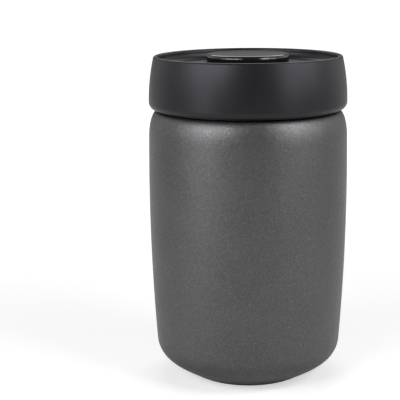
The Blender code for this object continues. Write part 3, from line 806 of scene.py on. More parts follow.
@dataclass(frozen=True)
class SoftTouch(Finish):
    """Matt black that is soft to the touch: a close leathery grain and faint clouding."""

    dark: float = 0.86
    light: float = 1.14
    relief: float = 0.000012
    fine: Grain = Grain(0.00022, rough=0.6)
    cloud: Grain = Grain(0.012, 3.0)
    cloud_roughness: float = 0.08
    specular: float = 0.4
    tint: Colour = (0.92, 0.89, 1.0)

    def detail(self, graph: Graph, shader: bpy.types.Node) -> None:
        """Adds the close grain and the clouding."""
        where = graph.place()
        fine, cloud = graph.noise(where, self.fine), graph.noise(where, self.cloud)
        tone = fine * self.fine.weight + cloud * self.cloud.weight + 0.5
        graph.feed(shader, {
            "Base Color": self.shades(graph, tone),
            "Roughness": self.roughness + cloud * self.cloud_roughness,
            "Specular IOR Level": self.specular,
            "Specular Tint": rgb(self.tint),
            "Normal": graph.bump(fine, self.relief),
        })


@dataclass(frozen=True)
class GlossBlack(Finish):
    """Polished black plastic with the faintest waviness and a few fine rubs."""

    relief: float = 0.000006
    wave: Grain = Grain(0.006, 1.0)
    rub: Grain = Grain(0.0003)
    rub_stretch: float = 0.12
    rub_range: Point = (0.06, 0.28)
    rub_roughness: float = 0.05
    coat: float = 0.35
    coat_roughness: float = 0.05

    def detail(self, graph: Graph, shader: bpy.types.Node) -> None:
        """Adds the waviness and the rubs."""
        where = graph.place()
        x, y, z = graph.parts(where)
        along = graph.vector(x * self.rub_stretch, y, z)
        rubs = graph.noise(along, self.rub).between(*self.rub_range)
        graph.feed(shader, {
            "Roughness": self.roughness + rubs * self.rub_roughness,
            "Coat Weight": self.coat,
            "Coat Roughness": self.coat_roughness,
            "Normal": graph.bump(graph.noise(where, self.wave), self.relief),
        })


@dataclass(frozen=True)
class Moulded(Finish):
    """Plastic as it leaves the mould, with a spark-eroded texture and slight flow marks."""

    fine: Grain = Grain(0.0003, rough=0.55, weight=0.4)
    flow: Grain = Grain(0.009, weight=0.6)
    flow_roughness: float = 0.12

    def detail(self, graph: Graph, shader: bpy.types.Node) -> None:
        """Adds the mould's texture and the flow marks."""
        where = graph.place()
        fine, flow = graph.noise(where, self.fine), graph.noise(where, self.flow)
        tone = fine * self.fine.weight + flow * self.flow.weight + 0.5
        graph.feed(shader, {
            "Base Color": self.shades(graph, tone),
            "Roughness": self.roughness + flow * self.flow_roughness,
            "Normal": graph.bump(fine, self.relief),
        })


@dataclass(frozen=True)
class Silicone(Finish):
    """Silicone rubber, milky or black, with a dusty satin skin."""

    relief: float = 0.000012
    dust: Grain = Grain(0.0005, 3.0, 0.6)
    blotch: Grain = Grain(0.006)
    dust_roughness: float = 0.15
    milk: float = 0.0
    milk_depth: float = 0.002

    def detail(self, graph: Graph, shader: bpy.types.Node) -> None:
        """Adds the skin's dust and, for milky silicone, light inside it."""
        where = graph.place()
        dust, blotch = graph.noise(where, self.dust), graph.noise(where, self.blotch)
        tone = dust * self.dust.weight + blotch * self.blotch.weight + 0.5
        graph.feed(shader, {
            "Base Color": self.shades(graph, tone),
            "Roughness": self.roughness + dust * self.dust_roughness,
            "Subsurface Weight": self.milk,
            "Subsurface Scale": self.milk_depth,
            "Normal": graph.bump(dust, self.relief),
        })


@dataclass(frozen=True)
class SpunSteel(Finish):
    """Bare steel with the fine rings that spinning and brushing leave."""

    dark: float = 0.84
    margin: float = 0.0
    relief: float = 0.000008
    line: Grain = Grain(0.00022, 3.0, 0.6, 0.8)
    line_drift: float = 0.02
    line_roughness: float = 0.18
    band: Grain = Grain(0.003)
    band_drift: float = 0.1

    def detail(self, graph: Graph, shader: bpy.types.Node) -> None:
        """Adds rings round the axis, on walls and floors alike."""
        x, y, z = graph.parts(graph.place())
        reach = (x * x + y * y) ** 0.5 + z
        along, across = self.line_drift, self.band_drift
        lines = graph.noise(graph.vector(reach, x * along, y * along), self.line)
        bands = graph.noise(graph.vector(reach, x * across, y * across), self.band)
        tone = lines * self.line.weight + bands * self.band.weight + 0.5
        graph.feed(shader, {
            "Base Color": self.shades(graph, tone),
            "Metallic": 1.0,
            "Roughness": self.roughness + lines * self.line_roughness,
            "Normal": graph.bump(lines, self.relief),
        })


@dataclass(frozen=True)
class BrightSteel(Finish):
    """Drawn or rolled bright steel, as on springs and screws."""

    dark: float = 0.88
    light: float = 1.08
    margin: float = 0.2
    relief: float = 0.000005
    mark: Grain = Grain(0.0002, 3.0, 0.6)
    mark_roughness: float = 0.15

    def detail(self, graph: Graph, shader: bpy.types.Node) -> None:
        """Adds fine drawing marks."""
        marks = graph.noise(graph.place(), self.mark)
        graph.feed(shader, {
            "Base Color": self.shades(graph, marks + 0.5),
            "Metallic": 1.0,
            "Roughness": self.roughness + marks * self.mark_roughness,
            "Normal": graph.bump(marks, self.relief),
        })


COARSE_MOULD = Grain(0.0004, rough=0.55, weight=0.4)
BODY_COAT = PowderCoat("gunmetal_powder_coat", "body_coat", (0.118, 0.118, 0.121), 0.42)
LINER_STEEL = SpunSteel("spun_steel", "body_coat", (0.58, 0.57, 0.56), 0.3)
LID_BLACK = SoftTouch("soft_touch_black", "lid_soft_black", (0.0085, 0.0085, 0.0092), 0.38)
BUTTON_BLACK = GlossBlack("polished_black", "button_gloss_black", (0.008, 0.008, 0.009), 0.12)
INNER_BLACK = Moulded("moulded_black_plastic", "moulded_black", (0.022, 0.022, 0.023), 0.42)
PAD_BLACK = Silicone("black_silicone_rubber", "black_silicone", (0.012, 0.012, 0.012), 0.62)
SEAL_MILKY = Silicone("milky_silicone", "clear_silicone", (0.66, 0.66, 0.63), 0.42, milk=0.5)
GREY_PLASTIC = Moulded(
    "grey_nylon_plastic", "grey_nylon", (0.22, 0.22, 0.23), 0.5, relief=0.000014, fine=COARSE_MOULD
)
WHITE_PLASTIC = Moulded(
    "white_acetal_plastic", "white_acetal", (0.72, 0.72, 0.69), 0.32, relief=0.000005, fine=COARSE_MOULD
)
SPRING_STEEL = BrightSteel("bright_steel", "bright_steel", (0.56, 0.56, 0.57), 0.24)


# Sub-assemblies

# How far pieces that don't touch keep apart.
GAP = 0.0003

# How far edges are rounded off, from a crisp one to a full one.
CRISP, FINE, PLAIN, SOFT = 0.0001, 0.0002, 0.0003, 0.0004
EASY, ROUND, FULL = 0.0005, 0.0006, 0.0008

# What two sub-assemblies share.
MOUTH_RADIUS = 0.0500
LID_FLANGE = 0.0020
INSERT_PLATE = 0.0024
SCREWS, SCREW_HOLE, SCREW_CIRCLE = 4, 0.0015, 0.0355
SCREW_SPOTS = [on_circle(SCREW_CIRCLE, angle) for angle in around(SCREWS, pi / SCREWS)]


@dataclass(frozen=True)
class Groove:
    """A shallow ring cut upwards into a flat face."""

    width: float
    depth: float
    slope: float
    edge: float

    def cut(self, outer: float, face: float) -> list[Corner]:
        """Its section, from its outer side at a radius inwards, in a face at a height."""
        inner, deep = outer - self.width, face + self.depth
        return [
            Corner(outer, face, self.edge), Corner(outer - self.slope, deep),
            Corner(inner + self.slope, deep), Corner(inner, face, self.edge),
        ]


@dataclass(frozen=True)
class Span:
    """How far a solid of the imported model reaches."""

    middle: Point
    bottom: float
    top: float
    radius: float

    @classmethod
    def of(cls, node: str) -> "Span":
        """The span of a solid, from its box at rest."""
        low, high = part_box(node)
        middle = ((low.x + high.x) / 2, (low.y + high.y) / 2)
        return cls(middle, low.z, high.z, (high.x - low.x) / 2)

    def ends(self) -> tuple[float, float, float]:
        """Its bottom, its top and its radius."""
        return self.bottom, self.top, self.radius


def spanned(node: str) -> Span:
    """A field that holds the span of a solid."""
    return field(default_factory=lambda: Span.of(node))


@dataclass
class SubAssembly:
    """Pieces that are built together, most of them on one body."""

    body: str = ""
    made: list[Object] = field(default_factory=list)

    def add(self, obj: Object, finish: Finish, *nodes: str, body: str = "") -> None:
        """Dresses a piece and sets it on its body.

        Args:
            obj: the finished piece.
            finish: what it is coated with or made of.
            nodes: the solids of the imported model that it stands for.
            body: the body that it rides on, where that isn't the sub-assembly's own.
        """
        obj.data.materials.clear()
        obj.data.materials.append(finish.material())
        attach(obj, body or self.body)
        if nodes:
            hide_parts(*nodes)
        self.made.append(obj)

    def build(self) -> None:
        """Builds and dresses the pieces."""


@dataclass
class SteelBody(SubAssembly):
    """The steel canister: a coated barrel, a bare liner with a rolled mouth, and the foot pad."""

    body: str = "canister"
    span: Span = spanned("canister_body")
    pad_span: Span = spanned("base_pad")
    widest_height: float = 0.1240
    wall: float = 0.0008
    coat_depth: float = 0.0003
    coat_gap: float = 0.00004
    foot_radius: float = 0.0588
    foot_height: float = 0.0220
    flat_radius: float = 0.0388
    corner_slope: float = 32.0
    corner_fullness: float = 0.55
    shoulder_height: float = 0.1532
    shoulder_width: float = 0.0056
    shoulder_rise: float = 0.0165
    neck_fillet: float = 0.0022
    bead_radius: float = 0.0014
    coat_top: float = 0.1742
    pad_recess: float = 0.0010
    grip_rings: tuple[float, ...] = (0.0310, 0.0270, 0.0230)
    grip: Groove = Groove(0.0016, 0.0005, 0.0003, 0.00015)

    def barrel_curve(self) -> float:
        """The radius of the arc that the barrel's side follows."""
        sag = self.span.radius - self.foot_radius
        rise = self.widest_height - self.foot_height
        return (rise**2 + sag**2) / (2 * sag)

    def barrel(self, height: float) -> float:
        """The barrel's outside radius at a height."""
        curve = self.barrel_curve()
        return self.span.radius - curve + sqrt(curve**2 - (height - self.widest_height) ** 2)

    def corner(self) -> list[Corner]:
        """The large corner from the barrel to the flat of the base."""
        low = self.span.bottom
        lean = (self.widest_height - self.foot_height) / self.barrel_curve()
        width = (self.foot_radius - self.flat_radius) * self.corner_fullness
        drop = (self.foot_height - low) * self.corner_fullness
        slope = radians(self.corner_slope)
        curve = interpolate_bezier(
            Vector((self.foot_radius, self.foot_height)),
            Vector((self.foot_radius - drop * lean, self.foot_height - drop)),
            Vector((self.flat_radius + width * cos(slope), low + width * sin(slope))),
            Vector((self.flat_radius, low)),
            19,
        )
        return [Corner(point.x, point.y) for point in curve]

    def outside(self) -> list[Corner]:
        """The steel's outer line from under the mouth's bead to the middle of the base."""
        neck = MOUTH_RADIUS + self.wall
        top = self.shoulder_height + self.shoulder_rise
        line = [Corner(neck, self.span.top - 2 * self.bead_radius), Corner(neck, self.coat_top)]
        fillet = (self.neck_fillet, self.neck_fillet)
        line += arc((neck + self.neck_fillet, top + self.neck_fillet), fillet, 180, 270, 6)
        crest = (self.barrel(self.shoulder_height) - self.shoulder_width, self.shoulder_height)
        line += arc(crest, (self.shoulder_width, self.shoulder_rise), 90, 0, 20)
        steps = 16
        for i in range(1, steps):
            height = self.shoulder_height + (self.foot_height - self.shoulder_height) * i / steps
            line.append(Corner(self.barrel(height), height))
        line += self.corner()
        recess = self.pad_span.radius + GAP
        deep = self.span.bottom + self.pad_recess
        return [*line, Corner(recess, self.span.bottom), Corner(recess, deep), Corner(0, deep)]

    def build(self) -> None:
        """Builds the coated barrel, the liner and the foot pad."""
        outside = self.outside()
        coated = outside[1:]
        inside_coat = inset(coated, self.coat_depth)
        coat = Lathe(Sides.BROAD).turn([*coated[::-1], *inside_coat])
        self.add(coat.finish("barrel_coat"), BODY_COAT, "canister_body")

        bead = (MOUTH_RADIUS + self.bead_radius, self.span.top - self.bead_radius)
        inner = inset(outside, self.wall)
        inner[0] = Corner(MOUTH_RADIUS, inner[0].height)
        outer = inset(outside, self.coat_depth + self.coat_gap)
        roll = arc(bead, (self.bead_radius, self.bead_radius), 180, -115, 18)
        liner = Lathe(Sides.BROAD).turn([*inner[::-1], *roll, *outer[1:]])
        self.add(liner.finish("steel_liner"), LINER_STEEL, "canister_body")
        self.build_pad()

    def build_pad(self) -> None:
        """Builds the foot pad, with shallow grip rings in its underside."""
        low, top, edge = self.pad_span.ends()
        section = [Corner(0, top), Corner(edge, top, FINE), Corner(edge, low, EASY)]
        for outer in self.grip_rings:
            section += self.grip.cut(outer, low)
        section.append(Corner(0, low))
        pad = Lathe(Sides.MEDIUM).turn(section)
        self.add(pad.finish("foot_pad"), PAD_BLACK, "base_pad")


@dataclass
class LidShell(SubAssembly):
    """The soft black cover of the lid, with its finger recess and the button's well."""

    body: str = "lid"
    span: Span = spanned("lid_shell")
    base_span: Span = spanned("lid_base")
    lean: float = 12.5
    hem_radius: float = 0.0047
    rim_radius: float = 0.0015
    roof_drop: float = 0.0074
    lip: float = 0.0015
    wall: float = 0.0022
    recess_depth: float = 0.0065
    recess_fillet: float = 0.0042
    well_radius: float = 0.0262
    guide_wall: float = 0.0018
    guide_length: float = 0.0080
    snap_catch: float = 0.0009
    snap_height: float = 0.0020
    rib_width: float = 0.0016
    rib_inset: float = 0.0035
    peg_radius: float = 0.0015
    peg_length: float = 0.0040

    def wall_ends(self) -> Point:
        """The heights where the side wall leaves the hem and meets the rim."""
        rim = self.rim_radius * (1 - sin(radians(self.lean)))
        return self.span.bottom + self.hem_radius, self.span.top - rim

    def outer_radius(self, height: float) -> float:
        """The radius of the side wall, which leaves the hem upright and leans in to the rim."""
        low, high = self.wall_ends()
        taper = (high - low) * tan(radians(self.lean)) / 2
        return self.span.radius - taper * ((height - low) / (high - low)) ** 2

    def inner_radius(self, height: float) -> float:
        """The inner radius of the side wall at a height between the hem and the roof."""
        return self.outer_radius(height) - self.wall

    def outside(self) -> list[Corner]:
        """The outer line from the hem up to the recess's lip."""
        hem, rim = self.hem_radius, self.rim_radius
        low, high = self.wall_ends()
        line = arc((self.span.radius - hem, low), (hem, hem), -90, 0, 12)
        steps = 12
        for i in range(1, steps):
            height = low + (high - low) * i / steps
            line.append(Corner(self.outer_radius(height), height))
        middle = (self.outer_radius(high) - rim * cos(radians(self.lean)), self.span.top - rim)
        line += arc(middle, (rim, rim), self.lean, 90, 8)
        return line

    def build(self) -> None:
        """Builds the cover and the peg that steadies the release spring."""
        top = self.span.top
        floor = top - self.recess_depth
        under = floor - self.wall
        line = self.outside()
        edge = line[-1].radius
        fillet = self.recess_fillet
        line += arc((edge, top - self.lip), (self.lip, self.lip), 90, 180, 6)[1:]
        line += arc((edge - self.lip - fillet, floor + fillet), (fillet, fillet), 0, -90, 10)
        guide = self.well_radius + self.guide_wall
        line += [Corner(self.well_radius, floor, SOFT)]
        line += [Corner(self.well_radius, floor - self.guide_length, FINE)]
        line += [Corner(guide, floor - self.guide_length, FINE), Corner(guide, under)]
        seat = self.base_span.top + GAP
        rib = self.inner_radius(seat) - self.rib_inset
        line += [Corner(rib - self.rib_width, under), Corner(rib - self.rib_width, seat, FINE)]
        line += [Corner(rib, seat, FINE), Corner(rib, under)]
        line += [Corner(edge - self.wall / 2, under + self.wall)]
        line += [Corner(self.inner_radius(top - self.roof_drop), top - self.roof_drop)]
        catch = self.base_span.top - LID_FLANGE - GAP
        snap = self.inner_radius(catch) - self.snap_catch
        line += [Corner(self.inner_radius(catch), catch), Corner(snap, catch, FINE)]
        line += [Corner(snap, catch - self.snap_height / 2, FINE)]
        line += [Corner(self.inner_radius(catch - self.snap_height), catch - self.snap_height)]
        inner = self.hem_radius - self.wall
        hem = (self.span.radius - self.hem_radius, self.span.bottom + self.hem_radius)
        line += arc(hem, (inner, inner), 0, -90, 6)
        shell = Lathe(Sides.BROAD).turn(line)
        self.add(shell.finish("lid_cover"), LID_BLACK, "lid_shell")

        tip = under - self.peg_length
        peg = Lathe(Sides.FINE, Span.of("release_stem").middle).turn([
            Corner(0, under + self.wall / 2), Corner(self.peg_radius, under + self.wall / 2),
            Corner(self.peg_radius, tip, SOFT), Corner(0, tip),
        ])
        self.add(peg.finish("spring_peg"), LID_BLACK)


@dataclass
class LidBase(SubAssembly):
    """The plug that fills the mouth, with its seal, its screw bosses and the dust filter."""

    body: str = "lid"
    span: Span = spanned("lid_base")
    gasket_span: Span = spanned("main_gasket")
    filter_span: Span = spanned("filter_cover")
    plug_wall: float = 0.0022
    lip_width: float = 0.0012
    plate: float = 0.0030
    plate_under: float = 0.1663
    intake_radius: float = 0.0095
    filter_wall: float = 0.0012
    filter_ring_wall: float = 0.0016
    filter_slots: int = 8
    filter_edge: float = 0.0009
    filter_groove: Groove = Groove(0.0008, 0.0002, 0.0002, CRISP)
    groove_inset: float = 0.0022
    gate_radius: float = 0.0018
    gate_slope: float = 0.0008
    gate_depth: float = 0.0003
    slot_inner: float = 0.0035
    slot_half: float = 0.0008
    pilot_radius: float = 0.0015
    pilot_low: float = 0.1648
    boss_wall: float = 0.0020
    vent_radius: float = 0.0020
    ribs: int = 16
    rib_half: float = 0.0006
    rib_depth: float = 0.0034
    rib_height: float = 0.0062
    gasket_width: float = 0.0014
    gasket_flange: float = 0.0015
    gasket_lip: float = 0.0009
    gasket_lips: tuple[float, ...] = (0.25, 0.75)
    gasket_tip: float = 0.0002
    gasket_face: float = 0.8
    gasket_root: float = 0.6

    def plug_radius(self) -> float:
        """The plug's outer radius, under the seal that it carries."""
        return MOUTH_RADIUS - GAP - self.gasket_width - self.lip_width

    def build(self) -> None:
        """Builds the plug, its seal and the filter."""
        self.build_plug()
        self.build_gasket()
        self.build_filter()

    def build_plug(self) -> None:
        """Turns the plug, then adds its bosses and ribs and cuts its holes."""
        low, top, edge = self.span.ends()
        plug = self.plug_radius()
        under, over = self.plate_under, self.plate_under + self.plate
        lip, lip_top = plug + self.lip_width, self.gasket_span.bottom - GAP
        ring = self.filter_span.radius - self.filter_wall - GAP
        ring_low = self.filter_span.bottom + self.filter_wall + GAP
        seal = Span.of("cylinder_seal")
        wire = (seal.top - seal.bottom) / 2
        groove = (seal.radius - 2 * wire - GAP, seal.radius + GAP)
        deep = seal.bottom - GAP
        plug_body = Lathe(Sides.BROAD).turn([
            Corner(edge, top, PLAIN), Corner(edge, top - LID_FLANGE, PLAIN),
            Corner(plug, top - LID_FLANGE, FINE), Corner(plug, lip_top, FINE),
            Corner(lip, lip_top, PLAIN), Corner(lip, under + self.lip_width, SOFT),
            Corner(plug, under, SOFT), Corner(ring, under, PLAIN), Corner(ring, ring_low, PLAIN),
            Corner(ring - self.filter_ring_wall, ring_low, PLAIN),
            Corner(ring - self.filter_ring_wall, under, PLAIN),
            Corner(self.intake_radius, under, PLAIN), Corner(self.intake_radius, over, PLAIN),
            Corner(groove[0], over, CRISP), Corner(groove[0], deep), Corner(groove[1], deep),
            Corner(groove[1], over, CRISP), Corner(plug - self.plug_wall, over, SOFT),
            Corner(plug - self.plug_wall, top, PLAIN),
        ])
        boss = self.pilot_radius + self.boss_wall
        middle, past = under + self.plate / 2, over + self.plate
        for spot in SCREW_SPOTS:
            post = Lathe(Sides.SMALL, spot).turn([
                Corner(0, low), Corner(boss, low, ROUND), Corner(boss, middle), Corner(0, middle),
            ])
            plug_body.combine(post, Cut.JOIN)
            plug_body.drill(self.pilot_radius, self.pilot_low, past, [spot], Sides.FINE)
        vent = Span.of("release_stem").middle
        plug_body.drill(self.vent_radius, under - self.plate, past, [vent], Sides.SMALL)
        inner = plug - self.plug_wall
        rib = Bench.box(
            (inner - self.rib_depth, -self.rib_half, over - self.plate / 4),
            (inner + self.plug_wall / 4, self.rib_half, over + self.rib_height),
        )
        plug_body.repeat(rib.ease(FINE), around(self.ribs, pi / self.ribs), Cut.JOIN)
        self.add(plug_body.finish("mouth_plug"), INNER_BLACK, "lid_base")

    def build_gasket(self) -> None:
        """Builds the seal: a band with a flange on the rim and two lips that bend upwards."""
        low, top, edge = self.gasket_span.ends()
        inner = self.plug_radius() + GAP
        band = inner + self.gasket_width
        under = top - self.gasket_flange
        tip = MOUTH_RADIUS - GAP
        line = [Corner(inner, top, PLAIN), Corner(edge, top, ROUND), Corner(edge, under, ROUND)]
        line.append(Corner(band, under, PLAIN))
        lip, reach = self.gasket_lip, tip - band
        for share in self.gasket_lips:
            middle = under - (under - low) * share
            line += arc((band, middle + lip), (reach / 2, lip / 2), -90, -10, 4)
            face, root = self.gasket_face * lip, self.gasket_root * lip
            line += [Corner(tip - self.gasket_tip, middle + lip), Corner(tip, middle + face)]
            line += arc((band, middle + root), (reach, 2 * face), 0, -90, 6)
        line += [Corner(band, low, SOFT), Corner(inner, low, PLAIN)]
        gasket = Lathe(Sides.BROAD).turn(line)
        self.add(gasket.finish("mouth_seal", Shading.SOFT), SEAL_MILKY, "main_gasket")

    def build_filter(self) -> None:
        """Builds the slotted cover that keeps coffee dust out of the inlet."""
        low, top, outer = self.filter_span.ends()
        inner, floor = outer - self.filter_wall, low + self.filter_wall
        cover = Lathe(Sides.MEDIUM).turn([
            Corner(0, floor), Corner(inner, floor, SOFT), Corner(inner, top, FINE),
            Corner(outer, top, PLAIN), Corner(outer, low, self.filter_edge),
            *self.filter_groove.cut(outer - self.groove_inset, low),
            Corner(self.gate_radius + self.gate_slope, low, FINE),
            Corner(self.gate_radius, low + self.gate_depth, FINE), Corner(0, low + self.gate_depth),
        ])
        reach = inner - GAP - self.filter_ring_wall - self.slot_half
        slot = Bench.box(
            (self.slot_inner, -self.slot_half, low - self.filter_wall),
            (reach, self.slot_half, floor + self.filter_wall),
        )
        cover.repeat(slot.round_ends(self.slot_half), around(self.filter_slots), Cut.AWAY)
        self.add(cover.finish("dust_filter"), GREY_PLASTIC, "filter_cover")


@dataclass
class Screw:
    """A pan-head screw with a cross recess and a rolled thread."""

    head_radius: float = 0.0026
    head_height: float = 0.0016
    shank_radius: float = 0.0012
    thread_depth: float = 0.00018
    pitch: float = 0.0005
    flank: float = 0.4
    recess_depth: float = 0.0010
    recess_reach: float = 0.00135
    recess_half: float = 0.00028
    recess_taper: float = 0.55

    def model(self, seat: float, length: float) -> Bench:
        """Builds the screw on the main axis.

        Args:
            seat: the height that its head rests on.
            length: from there to its tip.

        Returns:
            The bench with the screw.
        """
        head, tip = seat + self.head_height, seat - length
        third = self.head_height / 3
        line = [Corner(0, head), Corner(self.head_radius - third, head, PLAIN)]
        line += [Corner(self.head_radius, head - third, PLAIN), Corner(self.head_radius, seat, CRISP)]
        line.append(Corner(self.shank_radius, seat))
        root = self.shank_radius - self.thread_depth
        height = seat - self.pitch
        while height > tip + 2 * self.pitch:
            line.append(Corner(self.shank_radius, height))
            line.append(Corner(root, height - self.flank * self.pitch))
            line.append(Corner(root, height - (1 - self.flank) * self.pitch))
            height -= self.pitch
        line += [Corner(self.shank_radius, height), Corner(root, tip, CRISP), Corner(0, tip)]
        screw = Lathe(Sides.SMALL).turn(line)
        blade = Bench.box(
            (-self.recess_reach, -self.recess_half, head - self.recess_depth),
            (self.recess_reach, self.recess_half, head + self.recess_depth),
        )
        screw.repeat(blade.taper(self.recess_taper), (pi / 4, 3 * pi / 4), Cut.AWAY)
        return screw


@dataclass
class Pump(SubAssembly):
    """The pump: its cylinder and cap, their seal, the one-way valve and the four screws."""

    body: str = "lid"
    span: Span = spanned("pump_cylinder")
    cap_span: Span = spanned("cylinder_cover")
    seal_span: Span = spanned("cylinder_seal")
    valve_span: Span = spanned("intake_valve")
    bore_radius: float = 0.0176
    barrel_wall: float = 0.0018
    floor: float = 0.0022
    ports: int = 6
    port_circle: float = 0.0042
    port_radius: float = 0.0010
    window_radius: float = 0.0041
    ribs: int = 12
    rib_half: float = 0.0005
    rib_depth: float = 0.0007
    cap_top: float = 0.0020
    cap_wall: float = 0.0010
    groove_outer: float = 0.0017
    groove_inner: float = 0.0035
    groove_lean: float = 0.0002
    groove_depth: float = 0.0004
    rod_hole: float = 0.0065
    notches: int = 12
    notch_radius: float = 0.0009
    valve_stem: float = 0.0012
    valve_edge: float = 0.0004
    valve_bulb: float = 0.0021
    valve_hub: float = 0.0016
    valve_hollow: float = 0.0002
    valve_taper: float = 0.7
    screw_length: float = 0.0070
    screw_turn: float = pi / 7

    def build(self) -> None:
        """Builds the cylinder, what closes and seals it, and its screws."""
        self.build_barrel()
        self.build_cap()
        self.build_seals()
        self.build_screws()

    def build_barrel(self) -> None:
        """Builds the cylinder with its flange, ports, holes and outer ribs."""
        low, top, edge = self.span.ends()
        over, outer = low + self.floor, self.bore_radius + self.barrel_wall
        barrel = Lathe(Sides.BROAD).turn([
            Corner(0, over), Corner(self.bore_radius, over, FINE),
            Corner(self.bore_radius, top, SOFT), Corner(outer, top, PLAIN),
            Corner(outer, over, FULL), Corner(edge, over, EASY), Corner(edge, low, FINE),
            Corner(0, low),
        ])
        rib = Bench.box(
            (outer - self.barrel_wall / 4, -self.rib_half, over - self.floor / 4),
            (outer + self.rib_depth, self.rib_half, self.cap_span.bottom - 2 * GAP),
        )
        barrel.repeat(rib.ease(FINE), around(self.ribs, pi / self.ribs), Cut.JOIN)
        ports = [on_circle(self.port_circle, angle) for angle in around(self.ports)]
        for radius, places in (
            (self.valve_stem + GAP, [(0.0, 0.0)]), (self.port_radius, ports),
            (SCREW_HOLE, SCREW_SPOTS), (self.window_radius, [Span.of("release_stem").middle]),
        ):
            barrel.drill(radius, low - self.floor, over + self.floor, places, Sides.SMALL)
        self.add(barrel.finish("pump_barrel"), WHITE_PLASTIC, "pump_cylinder")

    def build_cap(self) -> None:
        """Builds the cylinder's cap, with notches in its skirt to grip it by."""
        low, top, edge = self.cap_span.ends()
        skirt, under, deep = edge - self.cap_wall, top - self.cap_top, top - self.groove_depth
        outer, inner = edge - self.groove_outer, edge - self.groove_inner
        cap = Lathe(Sides.BROAD).turn([
            Corner(self.rod_hole, top, PLAIN), Corner(inner, top, FINE),
            Corner(inner - self.groove_lean, deep), Corner(outer - self.groove_lean, deep),
            Corner(outer, top, FINE), Corner(edge, top, ROUND), Corner(edge, low, FINE),
            Corner(skirt, low, FINE), Corner(skirt, under, PLAIN), Corner(self.rod_hole, under, PLAIN),
        ])
        reach = edge + self.notch_radius / 2
        places = [on_circle(reach, angle) for angle in around(self.notches)]
        cap.drill(self.notch_radius, low - self.cap_wall, under, places, Sides.FINE)
        self.add(cap.finish("barrel_cap"), WHITE_PLASTIC, "cylinder_cover")

    def build_seals(self) -> None:
        """Builds the ring under the cylinder and the umbrella valve in its floor."""
        wire = (self.seal_span.top - self.seal_span.bottom) / 2
        centre = (self.seal_span.radius - wire, self.seal_span.bottom + wire)
        ring = Lathe(Sides.MEDIUM).turn(arc(centre, (wire, wire), 0, 345, 23))
        self.add(ring.finish("barrel_seal", Shading.ROUND), PAD_BLACK, "cylinder_seal")

        seat = self.span.bottom + self.floor + GAP
        under = self.span.bottom - GAP
        dome, edge = self.valve_span.top - seat - self.valve_edge, self.valve_span.radius
        line = [Corner(0, self.valve_span.top)]
        line += arc((0, seat + self.valve_edge), (edge, dome), 82, 0, 9)
        hub = self.valve_stem + self.valve_hub
        line += [Corner(edge, seat, CRISP), Corner(hub, seat + self.valve_hollow)]
        line += [Corner(self.valve_stem, seat, PLAIN), Corner(self.valve_stem, under)]
        bulb = (self.valve_stem, self.valve_bulb - self.valve_stem)
        line += arc((bulb[0], under - bulb[1] / 2), (bulb[1], bulb[1] / 2), 90, -60, 6)[1:]
        line += [Corner(self.valve_stem * self.valve_taper, self.valve_span.bottom, PLAIN)]
        line += [Corner(0, self.valve_span.bottom)]
        valve = Lathe(Sides.SMALL).turn(line)
        self.add(valve.finish("umbrella_valve", Shading.SOFT), SEAL_MILKY, "intake_valve")

    def build_screws(self) -> None:
        """Builds one screw and sets a copy of it in each hole."""
        pattern = Screw().model(self.span.bottom + self.floor + GAP, self.screw_length)
        for i, spot in enumerate(SCREW_SPOTS, 1):
            screw = pattern.copy().turn(i * self.screw_turn).shift(*spot)
            self.add(screw.finish(f"barrel_screw_{i}"), SPRING_STEEL, f"cylinder_screw_{i}")
        bpy.data.objects.remove(pattern.obj)


